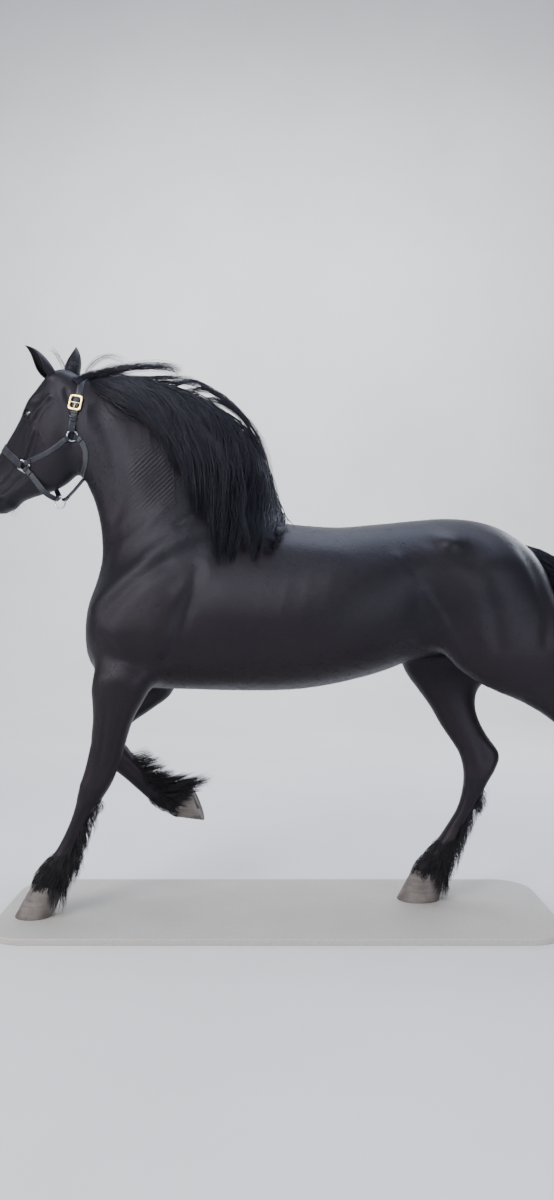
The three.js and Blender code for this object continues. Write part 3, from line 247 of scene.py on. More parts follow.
# Lines of the mane in side view: root, lift, turn-over, half way and tip, as x and z.
MANE = [
    [-742, 2104, -690, 2066, -612, 2012, -520, 1950, -452, 1856],
    [-696, 2094, -640, 2084, -530, 2010, -440, 1880, -385, 1720],
    [-636, 2076, -566, 2082, -440, 1990, -348, 1800, -302, 1545],
    [-502, 2036, -420, 2052, -300, 1950, -240, 1740, -224, 1392],
    [-374, 1968, -290, 1996, -198, 1866, -166, 1646, -186, 1376],
    [-262, 1868, -186, 1916, -120, 1782, -100, 1600, -124, 1385],
    [-177, 1757, -114, 1812, -66, 1694, -58, 1556, -76, 1390],
    [-112, 1652, -60, 1700, -28, 1600, -20, 1516, -24, 1425],
    [-60, 1578, -32, 1588, -14, 1544, -8, 1506, -4, 1468],
]

# Soft rises and hollows of the body: place, reach along x, y and z, and height. Both sides.
RELIEF = [
    ([-600, 195, 1070], [85, 90, 95], 22),
    ([-455, 240, 1060], [95, 80, 120], 20),
    ([-330, 255, 1170], [70, 80, 170], -12),
    ([-500, 215, 1330], [60, 80, 130], 8),
    ([-745, 70, 1120], [60, 50, 110], 14),
    ([-760, 0, 1110], [60, 26, 140], -14),
    ([652, 250, 1440], [55, 60, 45], 22),
    ([735, 240, 1400], [55, 70, 60], -14),
    ([560, 270, 1190], [70, 80, 130], -16),
    ([840, 240, 1260], [120, 80, 150], 12),
    ([620, 240, 1040], [60, 80, 70], 8),
]
# The same on the head: along the face, below its line and out from the middle.
HEAD_RELIEF = [
    ([200, 58, 96], [42, 40, 34], 11),
    ([150, 26, 84], [34, 22, 40], 5),
    ([132, 66, 96], [30, 26, 40], -9),
    ([262, 114, 90], [60, 16, 40], 6),
    ([330, 107, 80], [60, 14, 40], 6),
    ([230, 210, 80], [80, 60, 60], 7),
    ([400, 156, 60], [60, 22, 40], -5),
    ([430, 33, 50], [90, 26, 40], -4),
    ([590, 18, 60], [30, 26, 30], 7),
    ([636, 57, 30], [22, 18, 50], 7),
    ([628, 101, 30], [20, 14, 50], 6),
    ([596, 153, 20], [26, 18, 40], 8),
]


# Shapes.

def unit(v):
    v = np.asarray(v, float)
    return v / np.maximum(np.linalg.norm(v, axis=-1, keepdims=True), 1e-9)


def distance(points, spot):
    return np.linalg.norm(points - spot, axis=1)


def smoothstep(low, high, value):
    t = np.clip((value - low) / (high - low), 0, 1)
    return t * t * (3 - 2 * t)


def bell(value, width):
    return np.exp(-((value / width) ** 2))


def full_turn(count):
    return np.linspace(0, 2 * np.pi, count, endpoint=False)


# A smooth curve from q to r, with p before them and s after, at the share f of the way.
def curve_between(p, q, r, s, f):
    slope = r - p
    bend = 2 * p - 5 * q + 4 * r - s
    twist = 3 * q - p - 3 * r + s
    return q + 0.5 * f * (slope + f * (bend + f * twist))


# The sizes at t (0 to 1) down a list of stations, on a smooth curve through them.
def sizes_at(table, t):
    table = np.asarray(table, float)
    last = len(table) - 1
    place = np.clip(np.asarray(t, float), 0, 1) * last
    first = np.minimum(place.astype(int), last - 1)
    p, q, r, s = (table[np.clip(first + i, 0, last)] for i in (-1, 0, 1, 2))
    return curve_between(p, q, r, s, (place - first)[..., None])


def full_rows(rows):
    return [list(row) + [0, 2.2, 2.2] if len(row) < 9 else list(row) for row in rows]


def power(value, exponent):
    return np.sign(value) * np.abs(value) ** exponent


# Points of a form's skin: t runs down it, turn runs round it from its front or upper edge.
def skin_points(form, t, turn, grow=0.0):
    t, turn, grow = np.broadcast_arrays(t, turn, grow)
    row = sizes_at(form["rows"], t)
    fx, fz, rx, rz, y, width, mid, front_round, rear_round = np.moveaxis(row, -1, 0)
    across = np.cos(turn)
    exponent = 2 / np.where(across > 0, front_round, rear_round)
    bent = power(across, exponent)
    along = np.where(across > 0, mid + (1 - mid) * bent, mid + (1 + mid) * bent)
    aside = width * power(np.sin(turn), exponent)
    offset = np.stack([(fx - rx) / 2 * along, aside, (fz - rz) / 2 * along], -1)
    middle = np.stack([(fx + rx) / 2, y, (fz + rz) / 2], -1)
    point = middle + offset
    lift = grow + (form["relief"](point) if "relief" in form else 0)
    point = point + unit(offset) * np.asarray(lift)[..., None]
    return form["move"](point) if "move" in form else point


# The way down a form along its skin.
def way_down(form, t, turn, ahead):
    return unit(skin_points(form, t + ahead, turn) - skin_points(form, t - 0.01, turn))


# A skin over rings of points: closed on itself, or with a fan over its first and last ring.
def loft_mesh(rings, closed=False):
    rings = np.asarray(rings, float)
    n, m = rings.shape[:2]
    points = [tuple(p) for p in rings.reshape(-1, 3)]
    faces = []
    for i in range(n if closed else n - 1):
        here, there = i * m, (i + 1) % n * m
        for j in range(m):
            k = (j + 1) % m
            faces.append((here + j, here + k, there + k, there + j))
    if closed:
        return points, faces
    top = len(points)
    points += [tuple(rings[0].mean(0)), tuple(rings[-1].mean(0))]
    for j in range(m):
        k = (j + 1) % m
        faces.append((top, k, j))
        faces.append((top + 1, (n - 1) * m + j, (n - 1) * m + k))
    return points, faces


def joined(parts):
    points, faces = [], []
    for part_points, part_faces in parts:
        faces += [tuple(i + len(points) for i in face) for face in part_faces]
        points += part_points
    return points, faces


def form_rings(form, along, around, grow=0.0):
    t = np.linspace(0, 1, along)[:, None]
    turn = full_turn(around)[None, :]
    return skin_points(form, t, turn, grow)


# Places on the head.
FACE_DOWN = np.array([-math.cos(HEAD["slope"]), 0, -math.sin(HEAD["slope"])])
FACE_BACK = np.array([math.sin(HEAD["slope"]), 0, -math.cos(HEAD["slope"])])
TURN = np.array([
    [math.cos(HEAD["yaw"]), -math.sin(HEAD["yaw"]), 0],
    [math.sin(HEAD["yaw"]), math.cos(HEAD["yaw"]), 0],
    [0, 0, 1],
])
PIVOT = np.array([HEAD["pivot"], 0, 0])
POLL = np.array([HEAD["x"], 0, HEAD["z"]])


def turn_head(points):
    return (np.asarray(points) - PIVOT) @ TURN.T + PIVOT


def head_spot(along, below, out):
    along, below, out = np.broadcast_arrays(*(np.asarray(v, float) for v in (along, below, out)))
    flat = POLL + along[..., None] * FACE_DOWN + below[..., None] * FACE_BACK
    flat = flat + out[..., None] * np.array([0.0, 1.0, 0.0])
    return turn_head(flat)


def head_direction(along, below, out):
    return unit(head_spot(along, below, out) - head_spot(0, 0, 0))


# Along, below and out of points in space.
def head_place(points):
    flat = (np.asarray(points) - PIVOT) @ TURN + PIVOT - POLL
    return np.stack([flat @ FACE_DOWN, flat @ FACE_BACK, flat[..., 1]], -1)


def bumps(places, table):
    rise = np.zeros(places.shape[:-1])
    for at, reach, height in table:
        off = np.concatenate([places[..., :1], np.abs(places[..., 1:2]), places[..., 2:]], -1)
        rise += height * np.exp(-(((off - at) / reach) ** 2).sum(-1))
    return rise


def body_relief(points):
    return bumps(points, RELIEF)


def head_relief(points):
    flat = points - POLL
    place = np.stack([flat @ FACE_DOWN, np.abs(flat[..., 1]), flat @ FACE_BACK], -1)
    table = [([a[0], a[2], a[1]], [r[0], r[2], r[1]], h) for a, r, h in HEAD_RELIEF]
    return bumps(place, table)


def skull_row(row):
    along, face, jaw, width, mid, face_round, jaw_round = row
    spots = []
    for below in (face, jaw):
        spot = POLL + FACE_DOWN * along + FACE_BACK * below
        spots += [spot[0], spot[2]]
    return [*spots, 0, width, mid, face_round, jaw_round]


FORMS = {
    "torso": {"rows": TORSO, "relief": body_relief},
    "neck": {"rows": NECK},
    "head": {"rows": [skull_row(row) for row in SKULL], "relief": head_relief, "move": turn_head},
    "dock": {"rows": full_rows(DOCK)},
}
for leg_name, leg in LEGS.items():
    FORMS[leg_name] = {"rows": full_rows(leg["flesh"])}
HOOF_FORMS = {name: {"rows": full_rows(leg["hoof"])} for name, leg in LEGS.items()}
TAIL_FORM = {"rows": full_rows(TAIL)}
FINE = {"torso": (90, 96), "neck": (56, 72), "head": (80, 72), "dock": (20, 32)}


def to_metres(points):
    out = np.asarray(points, float) * MM
    out[..., 2] += GROUND * MM
    return out


def to_mm(points):
    out = np.asarray(points, float) / MM
    out[..., 2] -= GROUND
    return out


def linked(name, data):
    made = bpy.data.objects.new(name, data)
    bpy.context.scene.collection.objects.link(made)
    return made


def make_object(name, points, faces, material=None, smooth=True):
    mesh = bpy.data.meshes.new(name)
    mesh.from_pydata([tuple(p) for p in to_metres(points)], [], faces)
    mesh.validate()
    if material is not None:
        mesh.materials.append(material)
    if smooth:
        set_smooth(mesh)
    return linked(name, mesh)


def set_smooth(mesh):
    mesh.polygons.foreach_set("use_smooth", [True] * len(mesh.polygons))


def set_attribute(mesh, name, values):
    layer = mesh.attributes.new(name, "FLOAT", "POINT")
    layer.data.foreach_set("value", np.asarray(values).astype(np.float32))


def verts_of(mesh):
    co = np.empty(len(mesh.vertices) * 3, np.float32)
    mesh.vertices.foreach_get("co", co)
    return to_mm(co.reshape(-1, 3))


def set_verts(mesh, points):
    mesh.vertices.foreach_set("co", to_metres(points).astype(np.float32).ravel())
    mesh.update()


def normals_of(mesh):
    out = np.empty(len(mesh.vertices) * 3, np.float32)
    mesh.vertex_normals.foreach_get("vector", out)
    return out.reshape(-1, 3).astype(float)


def edges_of(mesh):
    pairs = np.empty(len(mesh.edges) * 2, np.int32)
    mesh.edges.foreach_get("vertices", pairs)
    return pairs.reshape(-1, 2)


# Values of the points of a mesh, each moved towards the mean of its neighbours.
def smoothed(points, pairs, weight, rounds):
    count = len(points)
    degree = np.bincount(pairs.ravel(), minlength=count)[:, None]
    weight = np.broadcast_to(weight, count)[:, None]
    for _ in range(rounds):
        total = np.zeros_like(points)
        for axis in range(points.shape[1]):
            total[:, axis] = np.bincount(pairs[:, 0], points[pairs[:, 1], axis], count)
            total[:, axis] += np.bincount(pairs[:, 1], points[pairs[:, 0], axis], count)
        mean = total / np.maximum(degree, 1)
        points = points + weight * (mean - points)
    return points


# The skin: every form of flesh in one voxel body, smoothed where forms meet, finer on head and legs.
COAT_DEPTH = 2.0
VOXEL = 0.0092
EAR_UP = {"left": (-0.6, -0.24, 0.76), "right": (0.13, 0.16, 0.98)}
EAR_OPEN = {"left": (-0.7, -0.62, -0.4), "right": (-0.72, 0.66, 0)}
# Levels of an ear: height, width, how far the leaf wraps round (degrees each way), wall, lean.
EAR_PROFILE = [
    [-0.1, 0.66, 160, 3.2, 0],
    [0.06, 0.74, 155, 3, 0],
    [0.16, 0.86, 145, 1.4, 0.02],
    [0.3, 0.98, 128, 1.1, 0.03],
    [0.46, 1, 112, 1, 0.03],
    [0.62, 0.88, 98, 0.9, 0],
    [0.78, 0.62, 88, 0.8, -0.02],
    [0.91, 0.32, 78, 0.6, 0.03],
    [1, 0.06, 70, 0.15, 0.1],
]
EAR_WALL = 4.4


def ear_frame(name):
    at = head_spot(EAR["along"], EAR["below"], SIDES[name] * EAR["out"])
    axis = unit(np.array(EAR_UP[name], float))
    side = unit(np.cross(axis, np.array(EAR_OPEN[name], float)))
    front = np.cross(side, axis)
    return at, axis, side, front


def ear_rings(name, levels=34, around=22):
    at, axis, side, front = ear_frame(name)
    rows = sizes_at(EAR_PROFILE, np.linspace(0, 1, levels))
    rings = []
    for height, size, wrap, wall, lean in rows:
        middle = at + axis * height * EAR["length"] + front * lean * EAR["width"]
        angle = math.radians(wrap) * np.linspace(-1, 1, around)[:, None]
        radius = size * EAR["width"] / 2
        flat = 1 - 0.1 * np.cos(angle) ** 2
        lip = 1 + 0.05 * np.abs(np.sin(angle)) ** 6

        def spot(r):
            return middle + side * r * lip * np.sin(angle) - front * r * flat * np.cos(angle)

        inner = spot(max(radius - wall * EAR_WALL, 0.3 * radius))[::-1]
        rings.append(np.concatenate([spot(radius), inner]))
    return np.array(rings)


def ear_root(name, levels=12, around=28):
    at, axis, side, front = ear_frame(name)
    rings = []
    for k in range(levels):
        height = -0.16 + 0.34 * k / (levels - 1)
        size = 0.86 - 0.1 * abs(height - 0.06) / 0.2
        radius = size * EAR["width"] / 2
        angle = full_turn(around)[:, None]
        middle = at + axis * height * EAR["length"]
        rings.append(middle + side * radius * np.sin(angle) - front * radius * np.cos(angle))
    return np.array(rings)


def evaluated_mesh(made):
    bpy.context.view_layer.update()
    graph = bpy.context.evaluated_depsgraph_get()
    mesh = bpy.data.meshes.new_from_object(made.evaluated_get(graph))
    made.modifiers.clear()
    old = made.data
    made.data = mesh
    bpy.data.meshes.remove(old)
    return mesh


# Splits the edges that lie in each mask, one mask after the other.
def refine(mesh, masks):
    work = bmesh.new()
    work.from_mesh(mesh)
    for mask in masks:
        points = to_mm(np.array([v.co[:] for v in work.verts]))
        inside = mask(points)
        work.verts.index_update()
        edges = [e for e in work.edges if inside[e.verts[0].index] and inside[e.verts[1].index]]
        bmesh.ops.subdivide_edges(work, edges=edges, cuts=1, use_grid_fill=True)
        work.verts.index_update()
    work.to_mesh(mesh)
    work.free()


def in_head(points):
    place = head_place(points)
    return (place[:, 0] > -20) & (place[:, 1] < 330) & (points[:, 0] < -735) & (points[:, 2] > 1560)


def in_legs(points):
    return points[:, 2] < 800


def near_spots(spots, reach):
    def mask(points):
        inside = np.zeros(len(points), bool)
        for spot in spots:
            inside |= distance(points, spot) < reach
        return inside
    return mask


def in_muzzle(points):
    place = head_place(points)
    return in_head(points) & (place[:, 0] > 515)


def spots_of(place):
    along, below, out = place["along"], place["below"], place["out"]
    return {name: head_spot(along, below, side * out) for name, side in SIDES.items()}


eye_spots = spots_of(EYE)
nostril_spots = spots_of(NOSTRIL)


def build_skin():
    bodies = []
    for name, form in FORMS.items():
        along, around = FINE.get(name, (90, 48))
        bodies.append(form_rings(form, along, around, -COAT_DEPTH))
    bodies += [ear_root(name) for name in SIDES]
    made = make_object("skin", *joined(loft_mesh(rings) for rings in bodies))
    modifier = made.modifiers.new("remesh", "REMESH")
    modifier.mode = "VOXEL"
    modifier.voxel_size = VOXEL
    evaluated_mesh(made)
    return made


# Where each point of the skin lies on its form: which form, t, turn and the distance to the next form.
def lie_of(points):
    best = np.full(len(points), np.inf)
    second = np.full(len(points), np.inf)
    form_of = np.zeros(len(points), int)
    spot = np.zeros((len(points), 2))
    places = points.tolist()
    for index, name in enumerate(FORMS):
        along, around = (150, 60) if name in LEGS else (90, 90)
        t = np.linspace(0, 1, along)
        turn = full_turn(around)
        samples = skin_points(FORMS[name], t[:, None], turn[None, :], -COAT_DEPTH).reshape(-1, 3)
        low, high = samples.min(0) - 120, samples.max(0) + 120
        tree = KDTree(len(samples))
        for i, sample in enumerate(samples.tolist()):
            tree.insert(sample, i)
        tree.balance()
        near = np.nonzero(((points > low) & (points < high)).all(1))[0]
        found = [tree.find(places[i])[1:] for i in near]
        which = np.array([f[0] for f in found])
        far = np.array([f[1] for f in found])
        closer = far < best[near]
        second[near] = np.where(closer, best[near], np.minimum(second[near], far))
        mine = near[closer]
        best[mine] = far[closer]
        form_of[mine] = index
        spot[mine, 0] = t[which[closer] // around]
        spot[mine, 1] = turn[which[closer] % around]
    return form_of, spot, second


def polyline_distance(points, line):
    line = np.asarray(line, float)
    best = np.full(len(points), np.inf)
    for a, b in zip(line[:-1], line[1:]):
        d = b - a
        s = np.clip(((points - a) @ d) / max(d @ d, 1e-9), 0, 1)
        best = np.minimum(best, np.linalg.norm(points - a - s[:, None] * d, axis=1))
    return best


# Lines on both flanks, as x and z, with their width and height.
FLANK_LINES = [
    ([(-296, 1330), (-330, 1210), (-372, 1090), (-420, 1000)], 26, -9),
    ([(-250, 1400), (-300, 1300), (-360, 1240)], 34, 5),
    ([(-700, 1200), (-600, 1290), (-470, 1390), (-330, 1470), (-230, 1500)], 30, 7),
    ([(-640, 1180), (-540, 1290), (-420, 1370)], 26, -5),
    ([(-520, 980), (-590, 1010), (-660, 1090)], 22, -6),
    ([(437, 1385), (520, 1290), (610, 1160), (700, 1020)], 18, 6),
    ([(480, 1350), (570, 1230), (660, 1090), (700, 1010)], 22, -7),
    ([(549, 1261), (620, 1150), (697, 1010)], 14, 5),
    ([(640, 1180), (700, 1080), (740, 1000)], 20, -5),
    ([(700, 1400), (760, 1300), (800, 1180), (820, 1060)], 34, -6),
    ([(930, 1420), (985, 1300), (1010, 1180), (1000, 1060)], 24, -6),
    ([(-200, 905), (0, 895), (250, 905), (420, 960)], 30, 4),
    ([(-100, 1440), (60, 1420), (240, 1400)], 40, 4),
    ([(-378, 1512), (-330, 1545), (-290, 1585), (-273, 1602)], 14, -5),
    ([(-590, 1438), (-510, 1500), (-435, 1575)], 20, 2.6),
    ([(-495, 1400), (-400, 1470), (-300, 1555)], 20, 2.6),
    ([(-640, 1500), (-560, 1560), (-500, 1620)], 18, 2),
    ([(575, 1440), (612, 1424), (660, 1402)], 26, -6),
]
# The ribs: x, width and height.
RIBS = [(-60, 13, 0.5), (24, 14, 0.8), (100, 12, 1.0), (184, 12, 0.8), (252, 11, 0.6)]
# Creases of the throat and the neck on the left, x and z.
THROAT_LINES = [
    ([(-560, 1700), (-500, 1756), (-450, 1800)], 12, -1.6),
    ([(-580, 1640), (-520, 1700), (-460, 1752)], 12, -1.6),
    ([(-700, 1960), (-640, 1800), (-610, 1640), (-640, 1480), (-700, 1330)], 34, -7),
]


# Where the lines of the flanks and of the throat end below.
BELLY_Z = 880
CHEST_Z = 1300


def body_details(points, normals, form_of, spot):
    rise = np.zeros(len(points))
    flat = points[:, [0, 2]]
    # How far a place faces sideways.
    flank = smoothstep(0.25, 0.7, np.abs(normals[:, 1]))
    for lines, above in ((FLANK_LINES, BELLY_Z), (THROAT_LINES, CHEST_Z)):
        for line, width, height in lines:
            rise += height * bell(polyline_distance(flat, line), width) * flank * (points[:, 2] > above)
    band = smoothstep(960, 1060, points[:, 2]) * (1 - smoothstep(1270, 1400, points[:, 2]))
    for x, width, height in RIBS:
        lean = x + 0.16 * (points[:, 2] - 1200)
        rise += height * bell(points[:, 0] - lean, width) * band * flank
    spine = bell(points[:, 1], 16) * (normals[:, 2] > 0.6)
    rise -= 5 * spine * smoothstep(300, 520, points[:, 0]) * (1 - smoothstep(860, 980, points[:, 0]))
    for index, name in enumerate(FORMS):
        if name not in LEGS:
            continue
        mine = form_of == index
        t, turn = spot[mine, 0], spot[mine, 1]
        around = (turn + np.pi) % (2 * np.pi) - np.pi
        side = np.abs(around)
        hind = name.startswith("hind")
        # Shares down the leg: the cannon's top, the hock or knee, and the fetlock.
        top, knee, low = (0.6, 0.585, 0.8) if hind else (0.57, 0.52, 0.84)
        cannon = smoothstep(top, top + 0.06, t) * (1 - smoothstep(low - 0.04, low + 0.02, t))
        # A groove between bone and tendon, and the tendon's edge behind it.
        bump = -3.6 * cannon * bell(side - 1.75, 0.2)
        bump += 1.6 * cannon * bell(side - 2.25, 0.22)
        # The joint's knobs on both sides, with a hollow behind each.
        joint = bell(t - knee, 0.035)
        bump += 3 * joint * bell(side - 0.7, 0.35)
        bump -= 2.4 * joint * bell(side - 1.35, 0.2)
        # Behind, the hock's cord and the hollow before it. In front, muscles of the forearm and
        # the two rows of the knee.
        if hind:
            bump += 4 * bell(t - 0.55, 0.05) * bell(side - 2.2, 0.3)
            bump -= 7 * bell(t - 0.5, 0.045) * bell(side - 1.9, 0.34)
        else:
            muscle = smoothstep(0.1, 0.2, t) * (1 - smoothstep(0.36, 0.46, t))
            bump -= 4 * muscle * bell(side - 1.25 - 0.5 * t, 0.13)
            bump -= 3 * muscle * bell(side - 2.1 + 0.3 * t, 0.13)
            bump += 2 * bell(t - 0.49, 0.014) * bell(side, 0.8)
            bump += 2 * bell(t - 0.55, 0.014) * bell(side, 0.8)
        bump += 2.6 * bell(t - low - 0.005, 0.022) * bell(side - 1.3, 0.4)
        rise[mine] += bump
    return rise


# Lines of the head on both sides: along, below and out, with their width and height.
HEAD_LINES = [
    ([(246, 119, 92), (300, 124, 84), (360, 125, 74), (405, 122, 66)], 11, 4.6),
    ([(262, 139, 90), (330, 147, 78), (400, 146, 62)], 13, -3),
    ([(222, 96, 98), (180, 92, 100), (130, 96, 98), (96, 108, 92)], 9, 4.5),
    ([(200, 116, 98), (150, 116, 99), (110, 130, 94)], 12, -2.6),
    ([(176, 22, 66), (146, 34, 80), (120, 56, 90)], 14, 2.4),
    ([(160, 50, 86), (136, 66, 90)], 19, -5),
    ([(40, 150, 78), (76, 210, 78), (120, 252, 72), (180, 284, 56)], 12, -6),
    ([(70, 146, 88), (104, 204, 84), (150, 246, 78), (210, 272, 66)], 16, 3.5),
    ([(236, 88, 92), (262, 82, 84), (292, 70, 74)], 5, -2.4),
    ([(300, 35, 62), (380, 23, 50), (470, 13, 44), (540, 7, 44)], 12, -3),
    ([(430, 90, 62), (500, 69, 56), (560, 56, 56)], 12, -3.2),
    ([(470, 106, 58), (530, 85, 58)], 10, 2),
    ([(452, 143, 54), (520, 124, 54), (552, 108, 56)], 8, -2.6),
    ([(420, 189, 54), (500, 158, 50), (560, 139, 46)], 9, 2.4),
    ([(548, 74, 58), (556, 84, 60), (552, 101, 59)], 5, -2.6),
]
VEIN = {"width": 3.6, "height": 1.7}
HEAD_VEINS = [
    [(404, 156, 60), (360, 156, 70), (310, 168, 78), (262, 185, 84), (214, 204, 84)],
    [(360, 156, 70), (330, 130, 78), (300, 101, 82), (268, 92, 86)],
    [(404, 156, 60), (440, 132, 60), (486, 104, 58), (530, 76, 58)],
    [(262, 185, 84), (238, 150, 92), (214, 132, 98), (170, 128, 98)],
]


def head_details(points, normals):
    place = head_place(points)
    mirrored = place.copy()
    mirrored[:, 2] = np.abs(mirrored[:, 2])
    rise = np.zeros(len(points))
    for line, width, height in HEAD_LINES:
        rise += height * bell(polyline_distance(mirrored, line), width)
    for line in HEAD_VEINS:
        rise += VEIN["height"] * bell(polyline_distance(mirrored, line), VEIN["width"])
    along, below, out = mirrored.T
    # The lips: a groove from the corner round the front, with a swelling above and below it.
    off = below - (81 - 0.1 * (along - 612))
    mouth = smoothstep(538, 572, along)
    rise -= 5.5 * mouth * bell(off, 2.0)
    lips = smoothstep(560, 600, along)
    rise += 3.2 * lips * bell(off + 13, 9) + 3 * lips * bell(off - 12, 8)
    rise -= 2.5 * smoothstep(575, 600, along) * bell(off - 30, 8)
    # The groove of the upper lip and the small wrinkles of the muzzle.
    rise -= 2.4 * smoothstep(622, 640, along) * bell(out, 5)
    wrinkle = np.sin(0.55 * along + 0.35 * below + 2 * np.sin(0.09 * out)) * smoothstep(560, 600, along)
    rise += 0.16 * wrinkle * (np.abs(off) > 5)
    points = points + normals * rise[:, None]
    for name, side in SIDES.items():
        points = shape_eye(points, name, side)
        points = shape_nostril(points, name, side)
    return points


# The way out, the long way and the way up of something that lies on the head.
def axes_on_head(out, long, upward):
    long = unit(long - out * (long @ out))
    up = unit(np.cross(out, long))
    return out, long, up if up @ upward >= 0 else -up


def eye_axes(side):
    long = unit(head_direction(0.77, -0.64, 0))
    return axes_on_head(head_direction(0.2, -0.35, side), long, np.array([0, 0, 1]))


def eye_opening(a, b):
    half = EYE["long"] / 2
    room = np.clip(1 - (a / half) ** 2, 0, 1)
    lean = 1 - 0.22 * a / half
    top = EYE["up"] * room ** 0.8 * lean
    bottom = EYE["low"] * room ** 0.9 / lean
    return np.where(np.abs(a) < half, np.minimum(top - b, b + bottom), half - np.abs(a) - 0.5 * np.abs(b))


def shape_eye(points, name, side):
    centre = eye_spots[name]
    out, long, up = eye_axes(side)
    from_eye = points - centre
    far = np.linalg.norm(from_eye, axis=1)
    near = (far < 60) & (from_eye @ out > -4)
    r = from_eye[near]
    d = far[near]
    a, b = r @ long, r @ up
    inside = eye_opening(a, b)
    # The rims of the lids, the folds above the upper lid and the one below the lower.
    rim = 1.3 * bell(inside + 2.2, 2.2)
    crease = -2.2 * bell(inside + 8, 2.4) * smoothstep(-4, 6, b)
    crease -= 1.4 * bell(inside + 13.5, 2.2) * smoothstep(2, 10, b)
    crease -= 1.2 * bell(inside + 7, 2) * smoothstep(4, -6, b)
    lid = EYE["radius"] + EYE["lid"] + rim
    # The skin is lifted onto the lids with a soft edge, and keeps its place further out.
    soft = 5.0
    new = soft * np.logaddexp(d / soft, lid / soft)
    new = np.maximum(new - soft * 0.25, lid) + crease * np.exp(-((d / 44) ** 4))
    blend = 1 - smoothstep(36, 58, d)
    new = d + (new - d) * blend
    new = np.where(inside > 0, EYE["radius"] - 3.2, new)
    points = points.copy()
    points[near] = centre + r * (new / d)[:, None]
    return points


def shape_nostril(points, name, side):
    centre = nostril_spots[name]
    long = unit(head_direction(0.86, 0.5, 0))
    out, long, up = axes_on_head(head_direction(0.42, -0.36, side), long, head_direction(0, -1, 0))
    r = points - centre
    a, b, o = r @ long, r @ up, r @ out
    near = (np.abs(a) < 46) & (np.abs(b) < 36) & (o > -30)
    bend = b - 5 * (a / 23) ** 2 * np.sign(a + 60) + 2
    e = np.sqrt((a / (NOSTRIL["long"] / 2)) ** 2 + (bend / (NOSTRIL["wide"] / 2)) ** 2)
    rim = 5.5 * bell(e - 1.28, 0.26) * (0.75 + 0.35 * smoothstep(-4, 8, b))
    pit = -NOSTRIL["depth"] * np.sqrt(np.clip(1 - e ** 2, 0, 1))
    change = np.where(e < 1, pit + 5.5 * bell(e - 1.28, 0.26), rim)
    points = points.copy()
    points[near] = points[near] + out * change[near][:, None]
    return points


skin = build_skin()
lay = verts_of(skin.data)
form_of, spot, second = lie_of(lay)
pairs = edges_of(skin.data)
# The nearer a second form, the more a place is smoothed, less on the head and on the lower legs.
junction = 1 - smoothstep(18, 95, second)
junction *= np.where(in_head(lay), 0.35, 1.0)
junction *= 1 - 0.9 * smoothstep(420, 330, lay[:, 2])
lay = smoothed(lay, pairs, 0.62 * junction, 60)
lay = smoothed(lay, pairs, 0.5, 3)
set_verts(skin.data, lay)
lens = list(eye_spots.values())
fine = [lambda p: in_head(p) | in_legs(p)]
holes = near_spots([*lens, *nostril_spots.values()], 52)
fine += [lambda p: in_muzzle(p) | holes(p), near_spots(lens, 34)]
refine(skin.data, fine)
lay = verts_of(skin.data)
pairs = edges_of(skin.data)
lay = smoothed(lay, pairs, np.where(in_head(lay) | in_legs(lay), 0.5, 0.0), 5)
form_of, spot, second = lie_of(lay)
set_verts(skin.data, lay)
rise = body_details(lay, normals_of(skin.data), form_of, spot)
head_mask = in_head(lay)
rise[head_mask] = 0
rise = smoothed(rise[:, None], pairs, 0.5, 4)[:, 0]
lay = lay + normals_of(skin.data) * rise[:, None]
set_verts(skin.data, lay)
fade = smoothstep(-20, 30, head_place(lay)[:, 0])
shaped = head_details(lay[head_mask], normals_of(skin.data)[head_mask])
lay[head_mask] += (shaped - lay[head_mask]) * fade[head_mask][:, None]
set_verts(skin.data, lay)


# The ears: thin rolled leaves, joined to the skin at their thick roots.
def join_meshes(target, others):
    work = bmesh.new()
    for made in [target, *others]:
        work.from_mesh(made.data)
    work.to_mesh(target.data)
    work.free()
    for made in others:
        bpy.data.objects.remove(made)


def ear_leaf(name):
    leaf = make_object(f"leaf_{name}", *loft_mesh(ear_rings(name)))
    work = bmesh.new()
    work.from_mesh(leaf.data)
    bmesh.ops.recalc_face_normals(work, faces=work.faces)
    work.to_mesh(leaf.data)
    work.free()
    return leaf


leaves = [ear_leaf(name) for name in SIDES]
bare_count = len(skin.data.vertices)
tree_of_skin = BVHTree.FromObject(skin, bpy.context.evaluated_depsgraph_get())
join_meshes(skin, leaves)
set_smooth(skin.data)


# Hair: flat three-sided strands that taper to a tip. Each has a patch of the unwrap at its root.
PATCH = 0.003
ISLANDS = {
    "torso": (0.0, 0.0, 0.48, 0.48),
    "neck": (0.5, 0.0, 0.24, 0.48),
    "head": (0.76, 0.0, 0.23, 0.48),
    "fore_left": (0.0, 0.5, 0.19, 0.48),
    "fore_right": (0.2, 0.5, 0.19, 0.48),
    "hind_left": (0.4, 0.5, 0.19, 0.48),
    "hind_right": (0.6, 0.5, 0.19, 0.48),
    "dock": (0.8, 0.5, 0.09, 0.22),
    "ear_left": (0.8, 0.74, 0.09, 0.11),
    "ear_right": (0.8, 0.87, 0.09, 0.11),
    "mane": (0.9, 0.5, 0.09, 0.48),
}


def island_spot(name, t, turn):
    u, v, wide, high = ISLANDS[name]
    around = (np.asarray(turn) / (2 * np.pi)) % 1.0
    return np.stack([u + wide * (0.01 + 0.98 * around), v + high * np.clip(t, 0.01, 0.99)], -1)


# Most triangles in one piece.
PIECE_LIMIT = 190000


